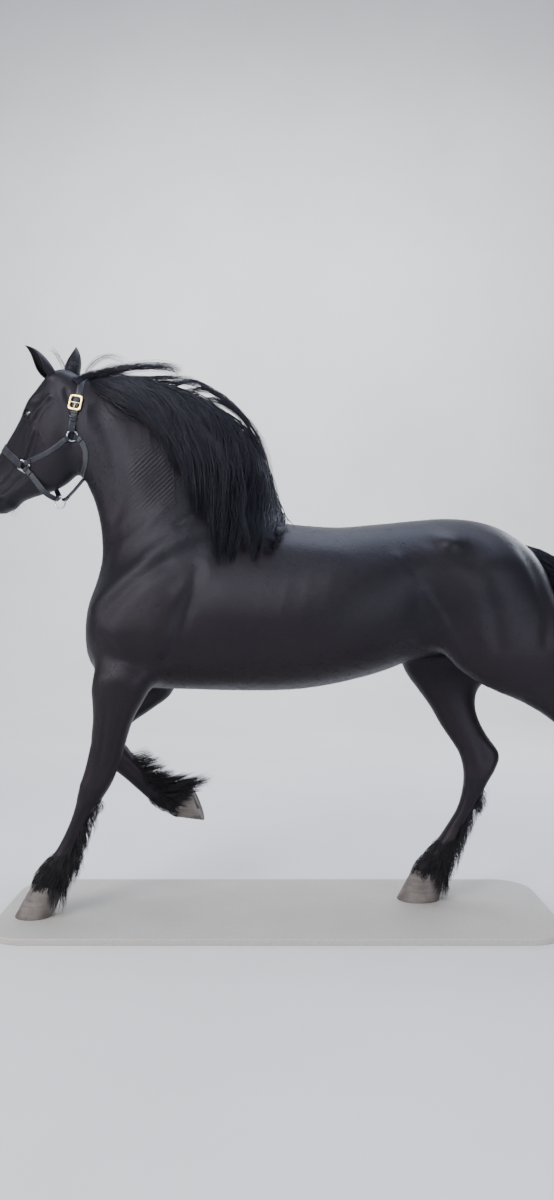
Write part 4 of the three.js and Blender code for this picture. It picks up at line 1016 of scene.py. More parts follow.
# Strands on their paths, in as many pieces as the limit asks for. The share that a strand keeps of
# its width is root at its root, full further on and tip at its tip.
def strands(name, paths, outward, width, thick, uv, material, **looks):
    count, steps = paths.shape[:2]
    outward = np.broadcast_to(outward, paths.shape)
    width, thick = np.broadcast_to(width, count), np.broadcast_to(thick, count)
    most = PIECE_LIMIT // (6 * (steps - 1) + 2)
    pieces = -(-count // most)
    made = []
    for index, part in enumerate(np.array_split(np.arange(count), pieces)):
        label = f"{name}_{index + 1}" if pieces > 1 else name
        sizes = width[part], thick[part], uv[part]
        made.append(strand_piece(label, paths[part], outward[part], *sizes, material, **looks))
    return made


def strand_piece(name, paths, outward, width, thick, uv, material, taper=2.6, tip=0.12, root=0.5):
    count, steps = paths.shape[:2]
    tangent = unit(np.gradient(paths, axis=1))
    across = unit(np.cross(tangent, outward))
    up = np.cross(across, tangent)
    s = np.linspace(0, 1, steps)[None, :, None]
    full = np.maximum(1 - s ** taper, tip) * (root + (1 - root) * np.minimum(1, 4 * s))
    wide = np.reshape(width, (-1, 1, 1)) / 2 * full
    high = np.reshape(thick, (-1, 1, 1)) * full
    rings = np.stack([paths + across * wide, paths + up * high, paths - across * wide], 2)
    points = rings.reshape(-1, 3)
    start = (np.arange(count) * steps * 3)[:, None]
    row = (np.arange(steps - 1) * 3)[None, :, None, None]
    corner = np.array([[0, 1, 4, 3], [1, 2, 5, 4], [2, 0, 3, 5]])[None, None]
    quads = (start[..., None, None] + row + corner).reshape(-1, 4)
    roots = start + np.array([[2, 1, 0]])
    tips = start + (steps - 1) * 3 + np.array([[0, 1, 2]])
    caps = np.concatenate([roots, tips])
    u = uv[:, None, None, 0] + PATCH * np.array([0, 0.5, 1.0])[None, None, :] + 0 * s
    v = uv[:, None, None, 1] + PATCH * s + 0 * u
    coords = np.stack([u, v], -1).reshape(-1, 2)
    mesh = bpy.data.meshes.new(name)
    mesh.vertices.add(len(points))
    mesh.vertices.foreach_set("co", to_metres(points).astype(np.float32).ravel())
    corners = np.concatenate([quads.ravel(), caps.ravel()]).astype(np.int32)
    starts = np.concatenate([np.arange(0, quads.size, 4), quads.size + np.arange(0, caps.size, 3)])
    mesh.loops.add(len(corners))
    mesh.loops.foreach_set("vertex_index", corners)
    mesh.polygons.add(len(starts))
    mesh.polygons.foreach_set("loop_start", starts.astype(np.int32))
    layer = mesh.uv_layers.new(name="OFBake")
    layer.data.foreach_set("uv", coords[corners].astype(np.float32).ravel())
    set_attribute(mesh, "shade", np.repeat(rng.random(count), steps * 3))
    mesh.update(calc_edges=True)
    set_smooth(mesh)
    mesh.materials.append(material)
    made = linked(name, mesh)
    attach(made, "root")
    return made


# Points on smooth curves through rows of control points, at the shares given.
def along_curves(controls, shares):
    controls = np.asarray(controls, float)
    last = controls.shape[1] - 1
    place = np.clip(shares, 0, 1) * last
    first = np.minimum(place.astype(int), last - 1)
    p, q, r, s = (controls[:, np.clip(first + i, 0, last)] for i in (-1, 0, 1, 2))
    return curve_between(p, q, r, s, (place - first)[None, :, None])


# The left face of the skin under points in side view: y where a ray from the left meets it.
def left_face(x, z):
    out = np.full(len(x), np.nan)
    for i, (px, pz) in enumerate(zip(x * MM, (z + GROUND) * MM)):
        hit = tree_of_skin.ray_cast(Vector((px, -1.0, pz)), Vector((0, 1, 0)), 1.1)
        if hit[0] is not None:
            out[i] = hit[0].y / MM
    return out


def on_skin(points):
    found = [tree_of_skin.find_nearest(Vector(p))[:2] for p in to_metres(points)]
    return to_mm(np.array([f[0][:] for f in found])), np.array([f[1][:] for f in found])


class Relief:
    """The left face of the neck and shoulder as a grid of y over x and z."""

    def __init__(self, low, high, step):
        self.low, self.step = np.array(low, float), step
        self.xs = np.arange(low[0], high[0] + step, step)
        self.zs = np.arange(low[1], high[1] + step, step)
        grid = np.stack(np.meshgrid(self.xs, self.zs, indexing="ij"), -1).reshape(-1, 2)
        self.y = left_face(grid[:, 0], grid[:, 1]).reshape(len(self.xs), len(self.zs))

    def at(self, x, z):
        u = np.clip((x - self.low[0]) / self.step, 0, len(self.xs) - 1.001)
        v = np.clip((z - self.low[1]) / self.step, 0, len(self.zs) - 1.001)
        i, j = u.astype(int), v.astype(int)
        a, b = u - i, v - j
        low = self.y[i, j] * (1 - b) + self.y[i, j + 1] * b
        high = self.y[i + 1, j] * (1 - b) + self.y[i + 1, j + 1] * b
        mean = low * (1 - a) + high * a
        nearest = self.y[np.round(u).astype(int), np.round(v).astype(int)]
        return np.where(np.isnan(mean), nearest, mean)


neck_face = Relief((-820, 1300), (120, 2180), 8)


# Each row smoothed along itself, with its ends kept.
def smooth_rows(values, rounds):
    for _ in range(rounds):
        middle = (values[:, :-2] + 2 * values[:, 1:-1] + values[:, 2:]) / 4
        values = np.concatenate([values[:, :1], middle, values[:, -1:]], 1)
    return values


# Materials.
def new_material(name):
    made = bpy.data.materials.new(name)
    made.use_nodes = True
    tree = made.node_tree
    tree.nodes.clear()
    out = tree.nodes.new("ShaderNodeOutputMaterial")
    shader = tree.nodes.new("ShaderNodeBsdfPrincipled")
    tree.links.new(shader.outputs[0], out.inputs[0])
    return made, tree, shader


def set_values(node, values):
    for name, value in values.items():
        node.inputs[name].default_value = value


def set_colour(tree, shader, colour, rough):
    tree.links.new(colour, shader.inputs["Base Color"])
    if hasattr(rough, "links"):
        tree.links.new(rough, shader.inputs["Roughness"])
    else:
        shader.inputs["Roughness"].default_value = rough


def place_node(tree, scale=(1, 1, 1), turn=(0, 0, 0)):
    spot_node = tree.nodes.new("ShaderNodeTexCoord")
    mapping = tree.nodes.new("ShaderNodeMapping")
    set_values(mapping, {"Scale": scale, "Rotation": turn})
    tree.links.new(spot_node.outputs["Object"], mapping.inputs[0])
    return mapping.outputs[0]


# Noise over the object. Its size is one scale, or three where it is stretched along x, y and z.
def noise(tree, size, detail, rough=0.55):
    stretched = isinstance(size, tuple)
    node = tree.nodes.new("ShaderNodeTexNoise")
    set_values(node, {"Scale": 1 if stretched else size, "Detail": detail, "Roughness": rough})
    tree.links.new(place_node(tree, size if stretched else (1, 1, 1)), node.inputs["Vector"])
    return node.outputs["Fac"]


def ramp(tree, value, stops):
    node = tree.nodes.new("ShaderNodeValToRGB")
    while len(node.color_ramp.elements) < len(stops):
        node.color_ramp.elements.new(0.5)
    for element, (at, colour) in zip(node.color_ramp.elements, stops):
        element.position = at
        element.color = (*colour, 1) if len(colour) == 3 else colour
    tree.links.new(value, node.inputs[0])
    return node.outputs[0]


def grey(value):
    return (value, value, value)


# Greys from low to high, as the value goes from one place to another.
def greys(tree, value, start, low, end, high):
    return ramp(tree, value, [(start, grey(low)), (end, grey(high))])


def mixed(tree, amount, first, second, mode="MIX"):
    node = tree.nodes.new("ShaderNodeMix")
    node.data_type = "RGBA"
    node.blend_type = mode
    for socket, value in ((node.inputs[0], amount), (node.inputs[6], first), (node.inputs[7], second)):
        if hasattr(value, "links"):
            tree.links.new(value, socket)
        elif isinstance(value, tuple):
            socket.default_value = (*value, 1)
        else:
            socket.default_value = value
    return node.outputs[2]


def attribute(tree, name):
    node = tree.nodes.new("ShaderNodeAttribute")
    node.attribute_name = name
    return node.outputs["Fac"]


def bump(tree, shader, height, strength, distance, onto=None):
    node = tree.nodes.new("ShaderNodeBump")
    set_values(node, {"Strength": strength, "Distance": distance})
    tree.links.new(height, node.inputs["Height"])
    if onto is not None:
        tree.links.new(onto, node.inputs["Normal"])
    tree.links.new(node.outputs[0], shader.inputs["Normal"])
    return node.outputs[0]


BLACK = (0.0030, 0.0028, 0.0044)
BROWN = (0.0100, 0.0066, 0.0062)
DUST = (0.16, 0.135, 0.11)


def coat_material():
    made, tree, shader = new_material("coat")
    wide = noise(tree, 3.2, 3)
    fine_body = noise(tree, (70, 420, 420), 3, 0.6)
    fine_leg = noise(tree, (420, 420, 70), 3, 0.6)
    lie = mixed(tree, attribute(tree, "leg"), fine_body, fine_leg)
    # Painted bounce light: the coat runs from black high on the body to a lighter brown low down and on the
    # legs.
    painted_bounce = attribute(tree, "painted_bounce")
    base = mixed(tree, painted_bounce, BLACK, BROWN)
    base = mixed(tree, greys(tree, wide, 0.42, 0.0, 0.66, 0.5), base, BROWN)
    base = mixed(tree, greys(tree, lie, 0.3, 0.0, 0.75, 0.45), base, (0.0088, 0.0080, 0.0084))
    base = mixed(tree, attribute(tree, "dust"), base, DUST)
    base = mixed(tree, attribute(tree, "bare"), base, (0.0065, 0.0058, 0.0062))
    rough = greys(tree, lie, 0.2, 0.37, 0.8, 0.5)
    set_colour(tree, shader, base, mixed(tree, attribute(tree, "bare"), rough, grey(0.42)))
    set_values(shader, {
        "Specular IOR Level": 0.22,
        "Specular Tint": (0.86, 0.83, 1, 1),
        "Sheen Weight": 0.012,
        "Sheen Roughness": 0.4,
        "Sheen Tint": (0.72, 0.8, 1, 1),
    })
    ripple = noise(tree, 28, 3)
    first = bump(tree, shader, ripple, 0.18, 0.004)
    creases = tree.nodes.new("ShaderNodeTexWave")
    set_values(creases, {"Scale": 22, "Distortion": 1.6, "Detail": 2, "Detail Scale": 0.6})
    tree.links.new(place_node(tree, turn=(0, math.radians(-45), 0)), creases.inputs["Vector"])
    depth = mixed(tree, attribute(tree, "fold"), grey(0.5), creases.outputs["Fac"])
    second = bump(tree, shader, depth, 0.5, 0.004, first)
    bump(tree, shader, lie, 0.45, 0.0018, second)
    return made


def hair_material(name, low, high, rough, shine=0.35):
    made, tree, shader = new_material(name)
    long = noise(tree, (60, 60, 60), 3)
    base = mixed(tree, attribute(tree, "shade"), low, high)
    base = mixed(tree, greys(tree, long, 0.4, 0, 0.7, 0.5), base, BLACK)
    set_colour(tree, shader, base, greys(tree, long, 0.3, rough, 0.7, rough + 0.12))
    set_values(shader, {"Specular IOR Level": shine, "Specular Tint": (0.84, 0.85, 1, 1)})
    bump(tree, shader, noise(tree, (500, 500, 500), 2), 0.25, 0.0006)
    return made


def horn_material():
    made, tree, shader = new_material("horn")
    rings = noise(tree, (9, 9, 150), 3, 0.5)
    tubes = noise(tree, (420, 420, 30), 2)
    dark, middle, light, dusty = (
        (0.07, 0.06, 0.054), (0.092, 0.08, 0.072), (0.12, 0.105, 0.096), (0.17, 0.152, 0.138),
    )
    base = ramp(tree, rings, [(0.3, dark), (0.55, middle), (0.78, light)])
    base = mixed(tree, greys(tree, tubes, 0.35, 0, 0.7, 0.25), base, dark)
    patches = noise(tree, 16, 5)
    base = mixed(tree, greys(tree, patches, 0.4, 0, 0.7, 0.8), base, dusty)
    set_colour(tree, shader, base, greys(tree, tubes, 0.3, 0.5, 0.7, 0.78))
    first = bump(tree, shader, rings, 0.3, 0.002)
    bump(tree, shader, tubes, 0.25, 0.0007, first)
    return made


def leather_material(name, colour, rough=0.34):
    made, tree, shader = new_material(name)
    grain = tree.nodes.new("ShaderNodeTexVoronoi")
    grain.inputs["Scale"].default_value = 620
    tree.links.new(place_node(tree), grain.inputs["Vector"])
    wear = noise(tree, 22, 5)
    base = mixed(tree, greys(tree, wear, 0.45, 0, 0.75, 0.55), colour, (0.032, 0.031, 0.034))
    set_colour(tree, shader, base, greys(tree, wear, 0.3, rough, 0.7, rough + 0.16))
    set_values(shader, {"Specular IOR Level": 0.42, "Specular Tint": (0.84, 0.88, 1, 1)})
    first = bump(tree, shader, grain.outputs["Distance"], 0.35, 0.0004)
    bump(tree, shader, wear, 0.2, 0.001, first)
    return made


def metal_material(name, colour, dark):
    made, tree, shader = new_material(name)
    wear = noise(tree, 60, 5)
    base = mixed(tree, greys(tree, wear, 0.45, 0, 0.75, 0.8), colour, dark)
    set_colour(tree, shader, base, greys(tree, wear, 0.3, 0.16, 0.75, 0.36))
    shader.inputs["Metallic"].default_value = 1
    bump(tree, shader, noise(tree, (300, 300, 300), 3), 0.12, 0.0003)
    return made


def thread_material():
    made, tree, shader = new_material("thread")
    twist = noise(tree, (900, 900, 900), 2)
    colour = ramp(tree, twist, [(0.3, (0.07, 0.07, 0.075)), (0.7, (0.15, 0.15, 0.16))])
    set_colour(tree, shader, colour, 0.7)
    return made


def eye_material():
    made, tree, shader = new_material("eye")
    iris = attribute(tree, "iris")
    streak = noise(tree, (160, 160, 160), 4)
    colour = ramp(tree, iris, [
        (0.0, (0.0012, 0.001, 0.0016)),
        (0.42, (0.0015, 0.0012, 0.0016)),
        (0.48, (0.016, 0.0075, 0.0035)),
        (0.74, (0.011, 0.005, 0.0026)),
        (0.84, (0.004, 0.0022, 0.0018)),
        (0.93, (0.018, 0.013, 0.011)),
        (1.0, (0.05, 0.04, 0.036)),
    ])
    base = mixed(tree, greys(tree, streak, 0.4, 0, 0.7, 0.5), colour, (0.004, 0.002, 0.001))
    set_colour(tree, shader, base, 0.18)
    set_values(shader, {"Coat Weight": 1, "Coat Roughness": 0.02})
    return made


def base_material():
    made, tree, shader = new_material("base")
    speck = noise(tree, 240, 4)
    broad = noise(tree, 5, 4)
    base = ramp(tree, speck, [(0.35, (0.34, 0.325, 0.30)), (0.65, (0.44, 0.425, 0.395))])
    base = mixed(tree, greys(tree, broad, 0.35, 0, 0.7, 0.35), base, (0.36, 0.34, 0.31))
    set_colour(tree, shader, base, greys(tree, broad, 0.3, 0.5, 0.7, 0.66))
    bump(tree, shader, speck, 0.15, 0.0006)
    return made


def floor_material():
    made, tree, shader = new_material("floor")
    broad = noise(tree, 0.6, 4)
    set_colour(tree, shader, greys(tree, broad, 0.3, 0.6, 0.7, 0.66), 0.85)
    return made


COAT = coat_material()
# The hair's blue tint is painted sky reflection on near-black hair.
HAIR = hair_material("hair", (0.0028, 0.0028, 0.0050), (0.0068, 0.0066, 0.0120), 0.33)
FUR = hair_material("fur", (0.0034, 0.0032, 0.0038), (0.0085, 0.0072, 0.0072), 0.46, 0.26)
FEATHER_HAIR = hair_material("feather_hair", (0.0038, 0.0033, 0.0032), (0.0165, 0.0140, 0.0125), 0.55, 0.3)
HORN = horn_material()
# The leather's blue tint is painted sky reflection on black leather.
LEATHER = leather_material("leather", (0.0078, 0.0085, 0.0125))
BRASS = metal_material("brass", (0.85, 0.66, 0.3), (0.45, 0.32, 0.14))
STEEL = metal_material("steel", (0.5, 0.51, 0.54), (0.26, 0.26, 0.28))
THREAD = thread_material()
EYEBALL = eye_material()
STONE = base_material()


# Hair that grows from the neck: locks of strands that share a path, spread at the root and meet
# at the tip, with single strands that stray.
def mane_controls(u):
    row = sizes_at(MANE, u)
    return row.reshape(len(row), 5, 2)


# One draw for each clump, given to all its strands.
def each(clump, low, high):
    return rng.uniform(low, high, clump[-1] + 1)[clump]


# Strands in clumps: the clump of each and its share down the crest.
def clumped(count, per, low=0.0, high=1.0):
    clump = np.repeat(np.arange(count), per)
    u = low + (high - low) * (clump + 0.5 + each(clump, -0.25, 0.25)) / count
    return clump, u


# The way across lines in side view, at each of their places.
def perpendicular(controls):
    way = np.gradient(controls, axis=1)
    way = way / np.maximum(np.linalg.norm(way, axis=-1, keepdims=True), 1e-6)
    return np.stack([-way[..., 1], way[..., 0]], -1)


# Points down each strand of the mane.
MANE_STEPS = 10


def mane_layer(count, per, lift, root_y, width, spread, low=0.0, high=1.0):
    clump, u = clumped(count, per, low, high)
    total = len(u)
    u = np.clip(u + rng.normal(0, 0.35 / count, total), 0, 1)
    controls = mane_controls(u)
    # How far a lock drifts and a single strand strays at each of its five places.
    shares = np.array([0, 0.35, 0.7, 1, 1])
    drift = rng.normal(0, 1, (count, 5))[clump] * spread * shares
    drift = drift + rng.normal(0, 1, (total, 1)) * np.array([3, 10, 12, 10, 4])
    stray = (rng.random(total) < 0.08)[:, None] * rng.normal(0, 1, (total, 5)) * np.array([0, 6, 14, 24, 32])
    controls = controls + perpendicular(controls) * (drift + stray)[..., None]
    longer = (0.3 + 0.82 * rng.random(count) ** 1.5)[clump] * rng.uniform(0.8, 1.05, total)
    controls[:, 4] = controls[:, 3] + (controls[:, 4] - controls[:, 3]) * longer[:, None]
    s = np.linspace(0, 1, MANE_STEPS)
    flat = along_curves(controls, s)
    phase = each(clump, 0, 2 * np.pi)[:, None]
    wave = np.sin(2 * np.pi * (s[None] * each(clump, 1.6, 3.2)[:, None]) + phase)
    flat = flat + perpendicular(flat) * (wave * 6 * s[None])[..., None]
    rise = lift * rng.uniform(0.2, 1.15, total)[:, None]
    y = neck_face.at(flat[..., 0], flat[..., 1])
    start = root_y + rng.uniform(-12, 12, total)[:, None]
    free = start - rise * smoothstep(0, 0.3, s)[None]
    y = np.where(np.isnan(y), free, np.minimum(y - 3 - rise * smoothstep(0, 0.2, s)[None], start))
    y = smooth_rows(y, 8)
    paths = np.stack([flat[..., 0], y, flat[..., 1]], -1)
    uv = island_spot("mane", u, rng.random(total) * 2 * np.pi)
    wide = width * rng.uniform(0.6, 1.3, total)
    return paths, wide, uv


# The way out of the mane's face.
MANE_OUT = np.array([0, -1, 0.2])


def add_mane(name, layers):
    paths, wide, uv = (np.concatenate(part) for part in zip(*layers))
    strands(name, paths, MANE_OUT, wide, 0.35 * wide, uv, HAIR)


LESS = 1.0


def some(count):
    return max(3, int(count * LESS))


add_mane("mane_under", [
    mane_layer(46, some(26), 14, -8, 8, 8),
    mane_layer(56, some(34), 28, 0, 4.2, 12),
])
add_mane("mane_over", [
    mane_layer(66, some(44), 40, 4, 3.2, 15),
    mane_layer(44, some(40), 52, 6, 2.6, 24, 0.03, 0.97),
])

# Wisps that blow clear of the crest: strands, spread, y of the root, and their line as x and z.
WISP_STEPS = 13
WISPS = [
    (70, 7, 0, [(-722, 2112), (-668, 2134), (-600, 2149), (-502, 2155), (-430, 2148), (-384, 2128)]),
    (44, 5, 0, [(-690, 2106), (-620, 2113), (-545, 2108), (-470, 2109), (-400, 2108), (-340, 2100)]),
    (30, 4, 0, [(-620, 2098), (-530, 2100), (-450, 2093), (-390, 2091), (-335, 2082), (-300, 2066)]),
    (34, 5, 0, [(-430, 2074), (-355, 2100), (-300, 2084), (-250, 2052), (-205, 2010), (-175, 1972)]),
    (30, 6, 0, [(-380, 2050), (-290, 2066), (-215, 2032), (-150, 1972), (-98, 1905), (-62, 1840)]),
    (36, 7, 0, [(-330, 2010), (-240, 2020), (-150, 1966), (-90, 1890), (-52, 1805), (-30, 1730)]),
    (36, 7, 0, [(-230, 1930), (-140, 1915), (-70, 1822), (-34, 1728), (-14, 1640), (-6, 1580)]),
    (30, 7, 0, [(-160, 1830), (-84, 1790), (-38, 1706), (-18, 1630), (-4, 1572), (4, 1536)]),
    (110, 7, 2, [(-796, 2086), (-770, 2110), (-738, 2122), (-700, 2130), (-655, 2139), (-610, 2138)]),
    (90, 9, 6, [(-784, 2076), (-752, 2104), (-716, 2118), (-675, 2127), (-630, 2128), (-586, 2116)]),
    (60, 8, 16, [(-800, 2084), (-786, 2106), (-760, 2117), (-730, 2122), (-700, 2122), (-670, 2114)]),
    (14, 5, 30, [(-770, 2138), (-745, 2172), (-715, 2196), (-680, 2206), (-645, 2200), (-612, 2184)]),
    (8, 4, 10, [(-850, 2140), (-862, 2172), (-876, 2198), (-890, 2216), (-900, 2226), (-908, 2232)]),
    (16, 6, 10, [(-842, 2136), (-846, 2154), (-836, 2166), (-822, 2170), (-808, 2166), (-796, 2158)]),
]


def wisps():
    paths, wide, uvs = [], [], []
    for index, (strand_count, spread, root_y, line) in enumerate(WISPS):
        total = some(int(1.5 * strand_count))
        controls = np.repeat(np.array(line, float)[None], total, 0)
        growth = spread * np.array([1.2, 0.9, 0.9, 1, 1.2, 1.5])
        loose = spread * np.array([0, 0.2, 0.35, 0.5, 0.7, 1])
        controls = controls + perpendicular(controls) * (rng.normal(0, 1, (total, 1)) * growth)[..., None]
        controls = controls + rng.normal(0, 1, (total, 6, 2)) * loose[None, :, None]
        flat = along_curves(controls, np.linspace(0, 1, WISP_STEPS))
        free = root_y < 5
        y = root_y + rng.normal(0, 9, (total, 1))
        y = y + np.linspace(0, rng.uniform(-45, -10) if free else 0, WISP_STEPS)[None]
        if free:
            face = neck_face.at(flat[..., 0], flat[..., 1])
            y = smooth_rows(np.where(np.isnan(face), y, np.minimum(y, face - 8)), 6)
        paths.append(np.stack([flat[..., 0], y, flat[..., 1]], -1))
        wide.append(rng.uniform(0.9, 2.1, total) if free else rng.uniform(0.7, 1.2, total))
        u = np.full(total, 0.04 + 0.065 * index)
        uvs.append(island_spot("mane", u, rng.random(total) * 2 * np.pi))
    paths, wide, uvs = (np.concatenate(part) for part in (paths, wide, uvs))
    strands("mane_wisps", paths, MANE_OUT, wide, 0.4 * wide, uvs, HAIR)


wisps()


# How far the forelock stands off the skin, point by point from root to tip.
FORELOCK_RISE = np.array([-4, 9, 13, 12, 10, 9, 8, 7, 6])


def forelock():
    count, per = 22, some(30)
    clump = np.repeat(np.arange(count), per)
    total = len(clump)
    side = each(clump, -0.7, 1.2) + rng.normal(0, 0.06, total)
    long = each(clump, 0.55, 1) * rng.uniform(0.85, 1.05, total)
    ones = np.ones(total)
    spots = [head_spot(-14 + 10 * rng.random(total), 22 * ones, 14 * side)]
    for mark in (0.25, 0.5, 0.75, 1):
        drift = rng.normal(0, 7, count)[clump] * mark + rng.normal(0, 4, total) * mark
        out = 20 * side + (26 + 14 * mark) * mark * side + drift + 16 * mark
        spots.append(head_spot(-14 + 190 * mark * long, -20 * ones, out))
    steps = len(FORELOCK_RISE)
    paths = along_curves(np.stack(spots, 1), np.linspace(0, 1, steps))
    laid, ways = on_skin(paths.reshape(-1, 3))
    rise = np.tile(FORELOCK_RISE, total) * np.repeat(rng.uniform(0.4, 1.1, total), steps)
    paths = (laid + unit(ways) * rise[:, None]).reshape(total, steps, 3)
    for axis in range(3):
        paths[..., axis] = smooth_rows(paths[..., axis], 3)
    out = unit(ways).reshape(total, steps, 3)
    wide = rng.uniform(1.4, 3, total)
    uv = island_spot("head", 0.02 + 0.03 * rng.random(total), 0.3 * side)
    strands("forelock", paths, out, wide, 0.35 * wide, uv, HAIR)


forelock()


# Points down each strand of the tail.
TAIL_STEPS = 13


def tail_hair(name, count, per, low, high, width):
    clump = np.repeat(np.arange(count), per)
    total = len(clump)
    turn = each(clump, 0, 2 * np.pi) + rng.normal(0, 0.13, total)
    share = each(clump, low, high) + rng.normal(0, 0.05, total)
    start = rng.uniform(0.2, 0.98, total)
    s = np.linspace(0, 1, TAIL_STEPS)[None]
    end = each(clump, 0.72, 1.02)[:, None] - np.abs(rng.normal(0, 0.05, total))[:, None]
    t0 = 0.07 + 0.17 * start[:, None]
    t = np.clip(t0 + (end - t0) * s, 0, 1)
    turns = turn[:, None] + rng.normal(0, 0.25, count)[clump][:, None] * s
    skin_at = skin_points(TAIL_FORM, t, turns)
    other = skin_points(TAIL_FORM, t, turns + np.pi)
    middle = (skin_at + other) / 2
    close = np.clip(share[:, None], 0.05, 1.04) * (1 - 0.12 * s)
    mass = middle + (skin_at - middle) * close[..., None]
    # The longest strands hang a little past the tail's own end.
    mass[..., 2] -= 60 * np.maximum(end - 0.98, 0) * s ** 4
    root = skin_points(FORMS["dock"], start, turn, -4)
    ways = smoothstep(0.0, 0.22, s)[..., None]
    paths = root[:, None] * (1 - ways) + mass * ways
    phase = each(clump, 0, 2 * np.pi)[:, None]
    rate = each(clump, 3.5, 6)[:, None]
    paths[..., 0] += 17 * np.sin(rate * 2 * s + phase) * s
    paths[..., 1] += 14 * np.sin(rate * 2.3 * s + 1.7 * phase) * s
    outward = unit(paths - middle)
    wide = width * rng.uniform(0.6, 1.3, total)
    uv = island_spot("dock", start, turn)
    return strands(name, paths, outward, wide, 0.4 * wide, uv, HAIR)


tail_hair("tail_inner", 40, some(34), 0.15, 0.75, 7.5)
tail_outer = tail_hair("tail_outer", 80, some(30), 0.7, 1.02, 4)
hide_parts("tail")


# Feathers hang from the back of the cannon down to the heel, longest low down and behind.
def feather(name):
    form = FORMS[name]
    top, low = (0.63, 0.96) if name.startswith("hind") else (0.58, 0.96)
    count, per = 150, some(11)
    clump = np.repeat(np.arange(count), per)
    total = len(clump)
    down = (rng.random(count) ** 0.75)[clump]
    t = top + (low - top) * down + rng.normal(0, 0.006, total)
    reach = 0.45 + 1.75 * down
    turn = np.pi + reach * each(clump, -1, 1) + rng.normal(0, 0.1, total)
    rear = np.clip(-np.cos(turn), 0, 1)
    length = (46 + 70 * np.minimum(down, 0.8)) * (0.35 + 0.65 * rear) * rng.uniform(0.75, 1.2, total)
    hang = unit(LEGS[name]["hang"])
    root = skin_points(form, t, turn, -4)
    near = skin_points(form, t + 0.016, turn, 4 + 6 * down * rear)
    way = way_down(form, t, turn, 0.02)
    out = unit(skin_points(form, t, turn, 10) - skin_points(form, t, turn))
    drift = rng.normal(0, 1, (count, 3))[clump] * 5
    stand = (5 + 17 * rear)[:, None]
    half = near + (way * 0.6 + hang * 0.4) * (length / 2)[:, None] + out * stand + drift * 0.5
    stray = out * (0.5 * stand + rng.normal(0, 3, (total, 1)))
    tip = half + (way * 0.3 + hang * 0.7) * (length / 2)[:, None] + stray + drift
    controls = np.stack([root, near, half, tip], 1)
    paths = along_curves(controls, np.linspace(0, 1, 7))
    paths[..., 2] = np.maximum(paths[..., 2], 5 + 3 * rng.random((total, 1)))
    wide = rng.uniform(1.3, 3, total)
    uv = island_spot(name, t, turn)
    strands(f"feather_{name}", paths, out[:, None], wide, 0.4 * wide, uv, FEATHER_HAIR)


for name in LEGS:
    feather(name)


# Short hair down the pastern and over the coronet, all round the top of each hoof.
def coronet(name):
    form = FORMS[name]
    total = some(1150)
    t = rng.uniform(0.8, 0.998, total)
    turn = rng.uniform(0, 2 * np.pi, total)
    root = skin_points(form, t, turn, -4)
    out = unit(skin_points(form, t, turn, 5) - root)
    way = way_down(form, t, turn, 0.02)
    down = rng.uniform(0.08, 0.3, total)
    on_hoof = skin_points(HOOF_FORMS[name], down, turn + rng.normal(0, 0.05, total), 2.5)
    free = root + way * rng.uniform(22, 40, (total, 1)) + out * rng.uniform(6, 10, (total, 1))
    low = smoothstep(0.9, 0.96, t)[:, None]
    tip = free * (1 - low) + on_hoof * low
    middle = (root + tip) / 2 + out * rng.uniform(3, 6, (total, 1))
    paths = along_curves(np.stack([root, middle, tip], 1), np.linspace(0, 1, 5))
    wide = rng.uniform(1.1, 2.4, total)
    uv = island_spot(name, t, turn)
    strands(f"coronet_{name}", paths, out[:, None], wide, 0.35 * wide, uv, FEATHER_HAIR)


for name in LEGS:
    coronet(name)


# Short tufts that lie along the body where the coat breaks its outline, whiskers and lashes.
# Points and normals of the skin, the way that its coat lies and where it is on the unwrap.
def lie_flow():
    mesh = skin.data
    points = verts_of(mesh)
    normals = normals_of(mesh)
    flow = np.zeros_like(points)
    uv = np.zeros((len(points), 2))
    for index, name in enumerate(FORMS):
        mine = np.nonzero(form_of == index)[0]
        t, turn = spot[mine, 0], spot[mine, 1]
        flow[mine] = way_down(FORMS[name], t, turn, 0.01)
        uv[mine] = island_spot(name, t, turn)
    up = in_head(points) & (head_place(points)[:, 0] < 120)
    flow[up] *= -1
    trunk = (points[:, 2] > 850) & (points[:, 0] > -700)
    flow[trunk] += np.array([0, 0, -0.35])
    ears = points[bare_count:]
    frames = {name: ear_frame(name) for name in SIDES}
    from_left, from_right = (distance(ears, frames[name][0]) for name in SIDES)
    near_left = from_left < from_right
    for name, closer in (("left", near_left), ("right", ~near_left)):
        at, axis, side, front = frames[name]
        mine = bare_count + np.nonzero(closer)[0]
        flow[mine] = axis
        off = points[mine] - at
        turn = np.arctan2(off @ side, -(off @ front))
        uv[mine] = island_spot(f"ear_{name}", (off @ axis) / EAR["length"], turn)
    edges = edges_of(mesh)
    flow = smoothed(flow, edges, 0.6, 12)
    flow = unit(flow - normals * (flow * normals).sum(1)[:, None])
    return points, normals, flow, uv


lay_points, lay_normals, lay_flow, lay_uv = lie_flow()


def face_table():
    mesh = skin.data
    mesh.calc_loop_triangles()
    corners = np.empty(len(mesh.loop_triangles) * 3, np.int32)
    mesh.loop_triangles.foreach_get("vertices", corners)
    return corners.reshape(-1, 3)


skin_triangles = face_table()
triangle_middle = lay_points[skin_triangles].mean(1)
triangle_cross = np.cross(
    lay_points[skin_triangles[:, 1]] - lay_points[skin_triangles[:, 0]],
    lay_points[skin_triangles[:, 2]] - lay_points[skin_triangles[:, 0]],
)
triangle_area = np.linalg.norm(triangle_cross, axis=1) / 2


